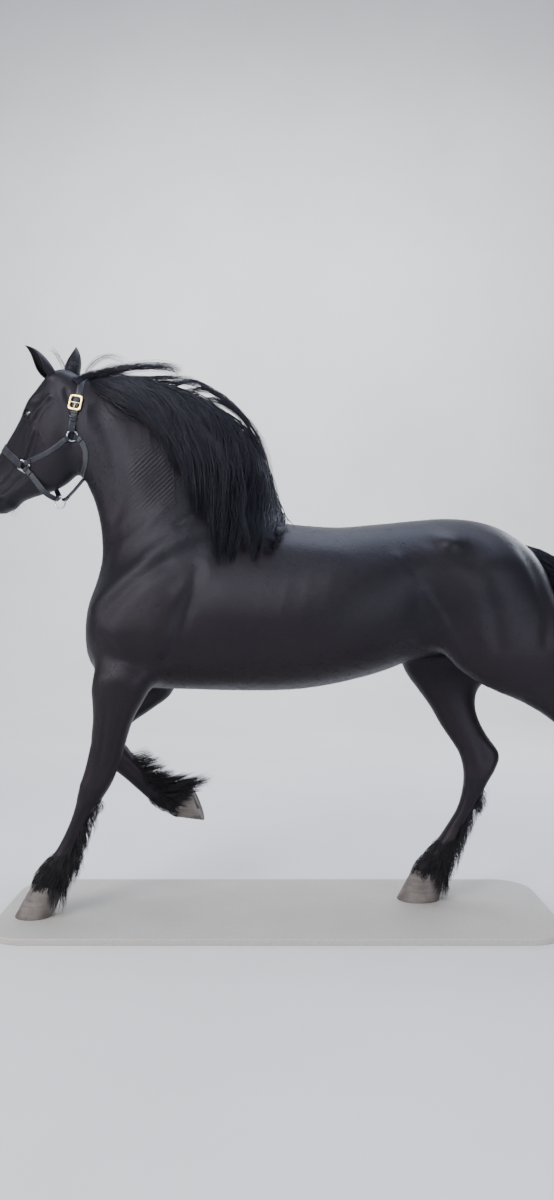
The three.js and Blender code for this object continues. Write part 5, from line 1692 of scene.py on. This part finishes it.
# Density of the tufts over the skin, from how far each place breaks the outline of the body.
def tuft_weight(points, normals, is_ear):
    weight = np.full(len(points), 0.25)
    head = in_head(points)
    place = head_place(points)
    weight[points[:, 2] < 850] = 0.6
    weight += 1.2 * bell(points[:, 1], 60) * (points[:, 2] > 800) * ~head
    weight += 1.6 * (normals[:, 2] < -0.5) * (points[:, 2] > 800)
    weight += 1.4 * smoothstep(-620, -720, points[:, 0]) * ~head
    weight += 1.5 * head * smoothstep(150, 230, place[:, 1]) * (place[:, 0] < 480)
    weight += 0.6 * head
    weight += 5.0 * is_ear
    for centre in eye_spots.values():
        far = distance(points, centre)
        weight *= np.where(far < 27, 0.0, 1.0)
    weight *= 1 - 0.8 * head * smoothstep(560, 610, place[:, 0])
    return weight


def add_tufts():
    is_ear = skin_triangles[:, 0] >= bare_count
    normals = unit(triangle_cross)
    weight = tuft_weight(triangle_middle, normals, is_ear) * triangle_area
    total = some(19000)
    picked = rng.choice(len(weight), total, p=weight / weight.sum())
    mix = rng.dirichlet((1, 1, 1), total)
    corners = skin_triangles[picked]
    at = (lay_points[corners] * mix[..., None]).sum(1)
    normal = unit((lay_normals[corners] * mix[..., None]).sum(1))
    flow = (lay_flow[corners] * mix[..., None]).sum(1)
    flow = unit(flow + rng.normal(0, 0.16, (total, 3)))
    flow = unit(flow - normal * (flow * normal).sum(1)[:, None])
    uv = lay_uv[corners[:, 0]]
    head = in_head(at) | is_ear[picked]
    low = at[:, 2] < 600
    long = np.where(head, 7.0, np.where(low, 9.0, 13.0)) * rng.uniform(0.7, 1.25, total)
    lift = np.where(head, 0.12, 0.1) * rng.uniform(0.6, 1.8, total)
    steps = np.array([0, 0.5, 1])[None, :, None]
    length = long[:, None, None]
    rise = (0.9 * np.sin(np.pi * 0.55 * steps)) * (lift[:, None, None] * length) - 0.8 * (1 - steps)
    paths = at[:, None] + flow[:, None] * length * steps + normal[:, None] * rise
    wide = np.where(head, 0.9, np.where(low, 1.1, 1.5)) * rng.uniform(0.7, 1.2, total)
    strands("tufts", paths, normal[:, None], wide, 0.3 * wide, uv, FUR, taper=1.6, tip=0.08, root=0.8)


add_tufts()


# Stiff single hairs that sag a little.
def bristles(name, at, ways, length, width, uv, sag):
    at, ways = np.asarray(at), np.asarray(ways)
    s = np.linspace(0, 1, 6)[None, :, None]
    length = np.asarray(length)[:, None, None]
    paths = at[:, None] + ways[:, None] * (length * s - 1.5) + np.array([0, 0, -sag]) * length * s ** 2
    across = unit(np.cross(ways, [0.3, 0.2, 1]))
    strands(name, paths, across[:, None], width, 0.8 * width, uv, HAIR, taper=1.4, tip=0.2, root=1)


def whiskers():
    total = 110
    side = np.where(rng.random(total) < 0.5, -1, 1)
    along = rng.uniform(560, 646, total)
    below = rng.uniform(70, 172, total)
    aim = head_spot(along, below, side * 90)
    at, ways = on_skin(aim)
    ways = unit(ways + np.array([-0.2, 0, -0.5]) + rng.normal(0, 0.2, (total, 3)))
    uv = island_spot("head", 0.85 + 0.1 * rng.random(total), rng.random(total) * 6.28)
    length, width = rng.uniform(14, 42, total), rng.uniform(0.5, 0.9, total)
    bristles("whiskers", at, ways, length, width, uv, 0.25)


# From the middle of an eye to the edge of its lids.
LID_REACH = 26.4


def lashes():
    spots, ways, lengths = [], [], []
    for name, side in SIDES.items():
        out, long, up = eye_axes(side)
        for row, count in ((1, 46), (-1, 18)):
            a = np.linspace(-19, 19, count) + rng.normal(0, 0.5, count)
            share = a / (EYE["long"] / 2)
            edge = EYE["up"] if row > 0 else -EYE["low"]
            edge = edge * np.clip(1 - share ** 2, 0, 1) ** 0.85 * (1 - row * 0.22 * share)
            depth = np.sqrt(np.clip(27 ** 2 - a ** 2 - edge ** 2, 1, None))
            ray = unit(depth[:, None] * out + a[:, None] * long + edge[:, None] * up)
            spots.append(eye_spots[name] + ray * LID_REACH)
            way = out + 0.35 * row * up + (a / 60)[:, None] * long
            ways.append(unit(way + rng.normal(0, 0.08, (count, 3))))
            lengths.append(rng.uniform(9, 15, count) if row > 0 else rng.uniform(5, 8, count))
    at, ways, lengths = (np.concatenate(v) for v in (spots, ways, lengths))
    uv = island_spot("head", np.full(len(at), 0.32), rng.random(len(at)) * 6.28)
    bristles("lashes", at, ways, lengths, np.full(len(at), 0.7), uv, 0.3)


whiskers()
lashes()


# The skin's finish and what it stands for: its own colours and marks, and painted bounce light low on the
# body.
def paint_skin():
    mesh = skin.data
    points = verts_of(mesh)
    place = head_place(points)
    head = in_head(points)
    # Painted bounce light: lighter and browner towards the belly and down the legs.
    painted_bounce = smoothstep(1350, 900, points[:, 2]) * 0.6 * (points[:, 2] > 500)
    painted_bounce += 0.35 * smoothstep(700, 400, points[:, 2])
    leg = smoothstep(900, 700, points[:, 2])
    dust = 0.09 * smoothstep(330, 120, points[:, 2])
    from_folds = np.stack([points[:, 0] + 485, points[:, 2] - 1690], -1) / np.array([75, 90])
    fold = np.exp(-((from_folds ** 2).sum(-1))) * (np.abs(points[:, 1]) > 40)
    bare = np.where(head, smoothstep(560, 620, place[:, 0]), 0)
    for centre in eye_spots.values():
        bare = np.maximum(bare, 1 - smoothstep(25, 40, distance(points, centre)))
    for name, values in (("painted_bounce", painted_bounce), ("leg", leg), ("dust", dust), ("bare", bare), ("fold", fold)):
        set_attribute(mesh, name, values)
    mesh.materials.clear()
    mesh.materials.append(COAT)


paint_skin()
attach(skin, "root")
flesh_nodes = ["torso", "neck", "head", "ear_left", "ear_right"]
flesh_nodes += [f"{name}_{part}" for name in LEGS for part in ("upper", "lower")]
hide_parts(*flesh_nodes)


# The hooves: a horn wall with a sole, a white line and a frog below. The sole's rings are shares
# of the last ring and depths into the hoof.
HOOF_AROUND = 72
SOLE = [(0.97, 0), (0.86, 0.5), (0.84, 3), (0.7, 6), (0.4, 8), (0.12, 8.5)]


def hoof_mesh(name):
    t = np.linspace(0.0, 1, 26)[:, None]
    rings = skin_points(HOOF_FORMS[name], t, full_turn(HOOF_AROUND)[None])
    rings[0] = rings[0].mean(0) + (rings[0] - rings[0].mean(0)) * 0.93
    lines = 0.5 * np.sin(t[:, 0] * 44)[:, None, None]
    middle = rings.mean(1, keepdims=True)
    rings[2:-1] += unit(rings[2:-1] - middle[2:-1]) * lines[2:-1]
    last = rings[-1]
    centre = last.mean(0)
    axis = unit(np.cross(last[0] - centre, last[HOOF_AROUND // 4] - centre))
    if axis @ (rings[-4].mean(0) - centre) < 0:
        axis = -axis
    sole = [centre + (last - centre) * share + axis * depth for share, depth in SOLE]
    return loft_mesh(np.concatenate([rings, sole])), last, centre, axis


def frog_mesh(last, centre, axis):
    toe, heel = last[0], last[HOOF_AROUND // 2]
    forward = unit(toe - heel)
    side = np.cross(axis, forward)
    long = np.linalg.norm(toe - heel)
    rings = []
    for k in range(9):
        s = k / 8
        at = centre - forward * long * (0.44 - 0.56 * s) + axis * (2.5 + 1.5 * s)
        wide = 26 * (1 - s) ** 0.8 + 2
        ring = []
        for angle in full_turn(16):
            groove = 1 - 0.35 * bell(math.cos(angle), 0.3) * (math.sin(angle) < 0)
            ring.append(at + side * wide * math.cos(angle) + axis * 6.5 * math.sin(angle) * groove)
        rings.append(ring)
    return loft_mesh(rings)


for name in LEGS:
    wall, *sole_place = hoof_mesh(name)
    made = make_object(f"hoof_{name}", *joined([wall, frog_mesh(*sole_place)]), HORN)
    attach(made, "root")
    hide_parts(f"{name}_hoof")


# The eyes: a ball with a shallow bulge of cornea and a long pupil.
def eyeball(name, side):
    centre = eye_spots[name]
    out, long, up = eye_axes(side)
    rings, iris = [], []
    levels, turn = 48, full_turn(64)
    spokes = np.cos(turn)[:, None] * long + np.sin(turn)[:, None] * up
    for i in range(levels + 1):
        polar = math.pi * (i + 0.35) / (levels + 0.7)
        ray = math.cos(polar) * out + math.sin(polar) * spokes
        bulge = 1.3 * bell(polar, 0.62)
        rings.append(centre + ray * (EYE["radius"] - 0.4 + bulge))
        spread = np.sqrt((np.cos(turn) / 1.18) ** 2 + np.sin(turn) ** 2) * polar / 0.98
        pupil = np.sqrt((np.cos(turn) / 1.5) ** 2 + (np.sin(turn) / 0.75) ** 2) * polar / 0.98
        iris.append(np.clip(np.where(pupil < 0.3, pupil, np.maximum(spread, 0.34)), 0, 1))
    made = make_object(f"eyeball_{name}", *loft_mesh(rings), EYEBALL)
    set_attribute(made.data, "iris", np.concatenate([np.array(iris).ravel(), [0.0, 1.0]]))
    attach(made, "root")
    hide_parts(f"eye_{name}")


for name, side in SIDES.items():
    eyeball(name, side)


# The base, a plate with rounded corners and a soft edge round its top.
BASE = {"long": 2160, "wide": 720, "high": 24, "corner": 150, "edge": 5}


# Places round a box with rounded corners, as x and y from its middle.
def rounded_box(long, wide, corner, steps):
    spots = []
    for sx, sy, start in ((1, 1, 0), (-1, 1, 90), (-1, -1, 180), (1, -1, 270)):
        for i in range(steps + 1):
            angle = math.radians(start + 90 * i / steps)
            x = sx * (long / 2 - corner) + corner * math.cos(angle)
            y = sy * (wide / 2 - corner) + corner * math.sin(angle)
            spots.append((x, y))
    return np.array(spots)


def base_outline(inset, z):
    spots = rounded_box(BASE["long"] - 2 * inset, BASE["wide"] - 2 * inset, BASE["corner"] - inset, 18)
    return np.column_stack([spots, np.full(len(spots), z - GROUND)])


base_rings = [base_outline(2, 0), base_outline(0, 2)]
edge = BASE["edge"]
for angle in np.linspace(0, math.pi / 2, 7):
    inset, rise = edge * (1 - math.cos(angle)), edge * math.sin(angle)
    base_rings.append(base_outline(inset, BASE["high"] - edge + rise))
base = make_object("base_plate", *loft_mesh(base_rings), STONE, smooth=False)
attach(base, "root")
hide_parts("stand_base")


# The headcollar: leather straps laid on the skin, folded round their fittings and stitched. Places
# on the left of the head, along, below and out, from the middle outwards; the right mirrors them.
HALTER = {
    "ring": (173, 276, 68),
    "square": (398, 142, 66),
    "chin_ring": (440, 330, 0),
    "buckle": (60, 208, 60),
    "crown": [(-52, 146, 0), (-24, 158, 30), (17, 190, 48), (58, 207, 60), (102, 234, 70), (148, 256, 70)],
    "cheek": [(207, 256, 70), (280, 222, 74), (345, 172, 69), (372, 148, 67)],
    "nose": [(401, -24, 0), (400, -16, 26), (399, 22, 54), (398, 90, 68)],
    "chin": [(434, 311, 0), (436, 306, 20), (432, 268, 44), (410, 200, 60)],
    "throat": [(292, 364, 0), (284, 370, 18), (242, 374, 48), (194, 352, 62), (170, 312, 66)],
    "jaw": [(416, 343, 0), (376, 356, 0), (326, 367, 0), (300, 372, 0)],
}
BAND = {"crown": 26, "cheek": 20, "nose": 34, "chin": 24, "throat": 22, "jaw": 22}
THICK = 2.8
# How far a folded end runs back along its strap, and the bars that the straps fold round.
FOLD = 44
ROUND_BAR = {"at": 20, "long": 3.4, "high": 3.4, "lift": 7}
CHIN_BAR = {"at": 24, "long": 4, "high": 4, "lift": 0}
SQUARE_BAR = {"at": 18, "long": 6, "high": 2.6, "lift": 6.4}
# Places across a strap, the grooves that its stitches lie in and its rounded edges.
ACROSS = np.array([-1, -0.94, -0.84, -0.76, -0.4, 0, 0.4, 0.76, 0.84, 0.94, 1])
STITCH_LINE = 0.84
GROOVE = np.where(np.abs(ACROSS) == STITCH_LINE, 0.5, 0.0)
EDGE = np.where(np.abs(ACROSS) == 1, 0.8, 0.0)
# A stitch: its places along the strap, how high it lies over the leather, and the step to the next.
STITCH = np.array([-1.7, -1.2, 0, 1.2, 1.7])
STITCH_RISE = np.array([-1.2, 0, 0.25, 0, -1.2]) - 0.4
STITCH_STEP = 4.6
STRAP_STEP = 3.5
stitches = []


def side_list(places, side):
    return [head_spot(a, b, side * o) for a, b, o in places]


def both_sides(first, places):
    left = side_list([*places, HALTER[first]], -1)[::-1]
    return left + side_list([*places[1:], HALTER[first]], 1)


def lengths_along(points):
    return np.concatenate([[0], np.cumsum(np.linalg.norm(np.diff(points, axis=0), axis=1))])


# Values between the points of a line, at the marks given along it.
def between(marks, length, values):
    return np.stack([np.interp(marks, length, values[:, k]) for k in range(3)], -1)


def spaced(points, step):
    dense = along_curves(np.array(points)[None], np.linspace(0, 1, 500))[0]
    length = lengths_along(dense)
    return between(np.linspace(0, length[-1], max(3, round(length[-1] / step)) + 1), length, dense)


# How high the skin lies over a place, seen from outside.
def skin_height(at, out, reach=26.0):
    hit = tree_of_skin.ray_cast(Vector(to_metres(at + out * reach)), Vector(-out), 2 * reach * MM)
    return reach - hit[3] / MM if hit[0] is not None else -4.0


class Line:
    """The line of a strap: its places, the way out of the skin and the way across."""

    def __init__(self, places, laid=True, away=None):
        at = spaced(places, STRAP_STEP)
        self.laid = laid
        if laid:
            at, out = on_skin(at)
            at = smooth_rows(at.T, 6).T
        else:
            out = unit(at - away)
        out = unit(smooth_rows(np.asarray(out, float).T, 10).T)
        tangent = unit(np.gradient(at, axis=0))
        self.across = unit(np.cross(tangent, out))
        self.out = np.cross(self.across, tangent)
        self.at = at
        self.s = lengths_along(at)
        self.length = self.s[-1]

    def spot(self, s):
        at, across, out = (between(s, self.s, values) for values in (self.at, self.across, self.out))
        return at, unit(across), unit(out)


# Rings of a strap from its places, its ways across and up, and the heights of its lower face.
def strap_rings(at, across, up, width, low, thick=THICK):
    offset = ACROSS * width / 2
    flat = at[:, None] + across[:, None] * offset[None, :, None]
    low = np.broadcast_to(low, flat.shape[:2])
    under = flat + up[:, None] * (low + 0.6 * EDGE)[..., None]
    over = flat + up[:, None] * (low + thick - GROOVE - EDGE)[..., None]
    rims = []
    for side in (0, -1):
        push = across * (0.5 if side else -0.5)
        rims.append(((under[:, side] + over[:, side]) / 2 + push)[:, None])
    return np.concatenate([under, rims[1], over[:, ::-1], rims[0]], 1)


def stitch_rows(line, start, end, width, low, s_grid):
    for u in (-STITCH_LINE, STITCH_LINE):
        s = np.arange(start + 2.5, end - 2.5, STITCH_STEP)[:, None] + STITCH
        height = np.array([np.interp(u, ACROSS, row) for row in low])
        at, across, out = line.spot(s)
        lift = np.interp(s, s_grid, height) + THICK + STITCH_RISE
        stitches.append(at + across * (u * width / 2) + out * lift[..., None])


def lay_strap(line, width, start=0.0, end=None, extra=0.0, stitched=True):
    end = line.length if end is None else end
    s = np.linspace(start, end, max(4, round((end - start) / STRAP_STEP)))
    at, across, out = line.spot(s)
    low = np.full((len(s), len(ACROSS)), 0.0)
    if line.laid:
        for i in range(len(s)):
            for k, u in enumerate(ACROSS * width / 2):
                low[i, k] = skin_height(at[i] + across[i] * u, out[i])
        raw = np.clip(low, -7, 9)
        even = smooth_rows(smooth_rows(raw, 2).T, 4).T
        low = np.maximum(even, raw - 1.2) - 0.2
    low = low + extra
    if stitched:
        stitch_rows(line, start, end, width, low, s)
    return strap_rings(at, across, out, width, low)


# The fold of a strap: over itself, round the bar of its fitting and under.
def fold_rings(line, bar, width, from_end=False):
    turn = -1 if from_end else 1
    base = line.length if from_end else 0.0
    long, high = bar["long"] + THICK / 2 + 0.2, bar["high"] + THICK / 2 + 0.2
    top = THICK + 0.4 + THICK / 2
    path = []
    for s in np.linspace(FOLD, bar["at"] + 9, 8):
        path.append((s, top, 0, 1))
    for s in np.linspace(bar["at"] + 8, bar["at"] + 1, 4):
        share = smoothstep(bar["at"] + 9, bar["at"], s)
        path.append((s, top + (bar["lift"] + high - top) * share, 0, 1))
    for angle in np.linspace(math.pi / 2, 1.5 * math.pi, 13):
        c, n = math.cos(angle), math.sin(angle)
        path.append((bar["at"] + long * c, bar["lift"] + high * n, c, n))
    path.append((bar["at"] + 8, THICK / 2 - 0.2, 0, -1))
    path = np.array(path)
    at, across, out = line.spot(base + turn * path[:, 0])
    before, after = (line.spot(base + turn * (path[:, 0] + step))[0] for step in (-1, 1))
    at = at + out * path[:, 1:2]
    up = unit(unit(after - before) * path[:, 2:3] + out * path[:, 3:4])
    for u in (-STITCH_LINE, STITCH_LINE):
        s = np.arange(bar["at"] + 10, FOLD - 2, STITCH_STEP)[:, None] + STITCH
        spot, wide, lift = line.spot(base + turn * s)
        height = top + THICK / 2 + STITCH_RISE
        stitches.append(spot + wide * (u * (width - 1.5) / 2) + lift * height[None, :, None])
    return strap_rings(at, across, up, width - 1.5, -THICK / 2)


def leather_piece(name, groups, node):
    made = make_object(name, *joined(map(loft_mesh, groups)), LEATHER)
    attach(made, "root")
    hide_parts(node)


def folded(line, width, first, last, stitched=True):
    start = first["at"] if first else 0.0
    end = line.length - (last["at"] if last else 0.0)
    groups = [lay_strap(line, width, start, end, stitched=stitched)]
    if first:
        groups.append(fold_rings(line, first, width))
    if last:
        groups.append(fold_rings(line, last, width, True))
    return groups


crown = Line(both_sides("ring", HALTER["crown"]))
groups = folded(crown, BAND["crown"], ROUND_BAR, ROUND_BAR)
buckle_along, buckle_below, buckle_out = HALTER["buckle"]
buckle_at = head_spot(buckle_along, buckle_below, -buckle_out)
buckle_s = crown.s[np.argmin(np.linalg.norm(crown.at - buckle_at, axis=1))]
# The tongue lies over the strap from the buckle to its end, under two keepers.
tongue_end = buckle_s - 74
groups.append(lay_strap(crown, BAND["crown"] - 3, tongue_end, buckle_s + 12, THICK + 0.3, False))
for offset in (-38, -58):
    at, across, out = crown.spot(np.linspace(buckle_s + offset - 5, buckle_s + offset + 5, 4))
    groups.append(strap_rings(at, across, out, BAND["crown"] + 5, 2.2 * THICK))
leather_piece("strap_crown", groups, "halter_crown")

nose = Line(both_sides("square", HALTER["nose"]))
leather_piece("strap_nose", folded(nose, BAND["nose"], SQUARE_BAR, SQUARE_BAR), "halter_noseband")
throat = Line(both_sides("ring", HALTER["throat"]))
leather_piece("strap_throat", folded(throat, BAND["throat"], ROUND_BAR, ROUND_BAR), "halter_throat")
inside = head_spot(400, 150, 0)
chin = Line(both_sides("square", HALTER["chin"]), False, inside)
leather_piece("strap_chin", folded(chin, BAND["chin"], SQUARE_BAR, SQUARE_BAR), "halter_chin")
jaw = Line(side_list([HALTER["chin_ring"], *HALTER["jaw"]], 1), False, inside)
leather_piece("strap_jaw", folded(jaw, BAND["jaw"], CHIN_BAR, None), "halter_jaw")
for name, side in SIDES.items():
    cheek = Line(side_list([HALTER["ring"], *HALTER["cheek"], HALTER["square"]], side))
    groups = folded(cheek, BAND["cheek"], ROUND_BAR, SQUARE_BAR)
    leather_piece(f"strap_cheek_{name}", groups, f"halter_cheek_{name}")


# A frame or ring: a bar that runs round a closed outline.
def closed_bar(outline, axis, long, high):
    middle = outline.mean(0)
    turn = full_turn(16)
    across = power(np.cos(turn), 0.8)
    upward = np.outer(power(np.sin(turn), 0.8), axis) * high
    rings = []
    for at in outline:
        out = at - middle
        out = unit(out - axis * (out @ axis))
        rings.append(at + np.outer(across, out) * long + upward)
    return loft_mesh(rings, closed=True)


def circle_line(middle, first, second, radius, count=64):
    turn = full_turn(count)[:, None]
    return middle + radius * (np.cos(turn) * first + np.sin(turn) * second)


# A box with rounded corners, with two marks more at each corner's ends so that it stays crisp.
def box_line(middle, first, second, long, wide, corner, steps=8):
    spots = rounded_box(long, wide, corner, steps)
    spots = middle + spots[:, :1] * first + spots[:, 1:] * second
    closed = np.concatenate([spots, spots[:1]])
    length = lengths_along(closed)
    ends, starts = length[steps:-1:steps + 1], length[steps + 1::steps + 1]
    return between(np.sort(np.concatenate([length[:-1], ends + 1.5, starts - 1.5])), length, closed)


def fitting(name, shapes, material, node):
    made = make_object(name, *joined(shapes), material)
    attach(made, "root")
    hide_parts(node)


# The place of a fitting over the skin and its axes: out, and two across.
def seat(place, side, lift):
    at, out = on_skin(np.array([head_spot(place[0], place[1], side * place[2])]))
    around = at + np.concatenate([np.eye(3), -np.eye(3)]) * 8
    out = unit(out[0] + on_skin(around)[1].sum(0))
    first = unit(np.cross(out, along_head))
    return at[0] + out * lift, out, first, np.cross(out, first)


along_head = head_direction(1, 0, 0)
for name, side in SIDES.items():
    middle, out, first, second = seat(HALTER["ring"], side, ROUND_BAR["lift"])
    ring = closed_bar(circle_line(middle, first, second, 20), out, 3.4, 3.4)
    fitting(f"ring_{name}", [ring], STEEL, f"halter_ring_{name}")
    middle, out, first, second = seat(HALTER["square"], side, SQUARE_BAR["lift"])
    square = closed_bar(box_line(middle, first, second, 37, 37, 6), out, 6.2, 2.6)
    fitting(f"square_{name}", [square], STEEL, f"halter_square_{name}")
middle = head_spot(*HALTER["chin_ring"])
across_head = head_direction(0, 0, 1)
second = np.cross(across_head, along_head)
ring = closed_bar(circle_line(middle, along_head, second, 24), across_head, 4, 4)
fitting("ring_chin", [ring], STEEL, "halter_chin_ring")

# The buckle: a rounded frame with a bar across its middle and a prong.
at, across, out = (v[0] for v in crown.spot(np.array([buckle_s])))
way = np.cross(out, across)
middle = at + out * 7.4
shapes = [closed_bar(box_line(middle, way, across, 54, 45, 11), out, 5.6, 2.6)]


def rod(start, end, radius):
    line_way = unit(end - start)
    one = unit(np.cross(line_way, out))
    two = np.cross(one, line_way)
    rings = []
    for share, size in ((0, 0.6), (0.02, 0.9), (0.06, 1), (0.94, 1), (0.98, 0.9), (1, 0.6)):
        rings.append(circle_line(start + (end - start) * share, one, two, radius * size, 12))
    return loft_mesh(rings)


shapes.append(rod(middle - across * 22 + out * 0.2, middle + across * 22 + out * 0.2, 2.4))
shapes.append(rod(middle + out * 1.2, middle - way * 29 + out * 2.6, 2.1))
fitting("buckle", shapes, BRASS, "halter_buckle")

stitch_paths = np.concatenate(stitches)
blank = np.full(len(stitch_paths), 0.5)
stitch_out = stitch_paths[:, 2:3] - head_spot(200, 150, 0)
stitch_uv = island_spot("head", blank, blank)
for made in strands("stitching", stitch_paths, stitch_out, 1.1, 0.5, stitch_uv, THREAD, taper=9, tip=0.4):
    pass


# The studio: a pale floor that rises into a backdrop out of sight, soft lamps and the camera.
# How far the floor reaches in front, behind and to both sides, where its curve starts, the
# radius of the curve, and how high the backdrop goes.
FLOOR = {"front": 9000, "back": 9000, "aside": 60000, "flat": 5500, "curve": 3500, "high": 12000}


def floor():
    start, curve = FLOOR["flat"], FLOOR["curve"]
    profile = [(-FLOOR["front"], 0), (start, 0)]
    for angle in np.linspace(0.05, math.pi / 2, 24):
        profile.append((start + curve * math.sin(angle), curve - curve * math.cos(angle)))
    profile.append((FLOOR["back"], FLOOR["high"]))
    points = []
    for x in (-FLOOR["aside"], FLOOR["aside"]):
        points += [(x, y, z - GROUND) for y, z in profile]
    count = len(profile)
    faces = [(i, i + 1, i + 1 + count, i + count) for i in range(count - 1)]
    return make_object("floor", points, faces, floor_material())


floor()

world = bpy.data.worlds.new("studio")
world.use_nodes = True
background = world.node_tree.nodes["Background"]
background.inputs[0].default_value = (0.8, 0.85, 1, 1)
background.inputs[1].default_value = 0.64
bpy.context.scene.world = world


# A soft lamp: its place, what it points at, width and height, watts and colour. Metres.
def lamp(name, at, aim, size, watts, colour):
    data = bpy.data.lights.new(name, "AREA")
    data.shape = "RECTANGLE"
    data.size, data.size_y = size
    data.energy = watts
    data.color = colour
    made = linked(name, data)
    made.location = at
    made.rotation_mode = "QUATERNION"
    made.rotation_quaternion = (Vector(aim) - Vector(at)).to_track_quat("-Z", "Y")


lamp("key", (-2.8, -4.4, 4.6), (0, 0, 1.1), (2.4, 2.4), 330, (1, 0.97, 0.95))
lamp("sky", (0.8, 0.4, 5.0), (0.4, 0, 1.2), (5, 2.6), 220, (0.74, 0.82, 1))
lamp("back", (3.6, 3.2, 3.2), (0.3, 0, 1.3), (2.4, 2), 110, (0.82, 0.88, 1))
lamp("fill", (3.0, -5.2, 1.6), (0.3, 0, 1.0), (3, 2.4), 140, (0.92, 0.93, 1))
lamp("front", (-4.6, -2.6, 2.2), (-0.7, 0, 1.1), (2.6, 2.6), 120, (1, 0.95, 0.94))
lamp("wall", (0, 4.2, 6.5), (0, 9, 2.5), (8, 2), 700, (0.97, 0.98, 1))

# The photo's camera: level, 3.7 m from the middle plane of the horse.
lens = bpy.data.cameras.new("camera")
lens.lens = 27.75
lens.sensor_width = 36
lens.clip_end = 100
camera = linked("camera", lens)
camera.location = (0, -3.7, 1.2483)
camera.rotation_euler = (math.pi / 2, 0, 0)
bpy.context.scene.camera = camera
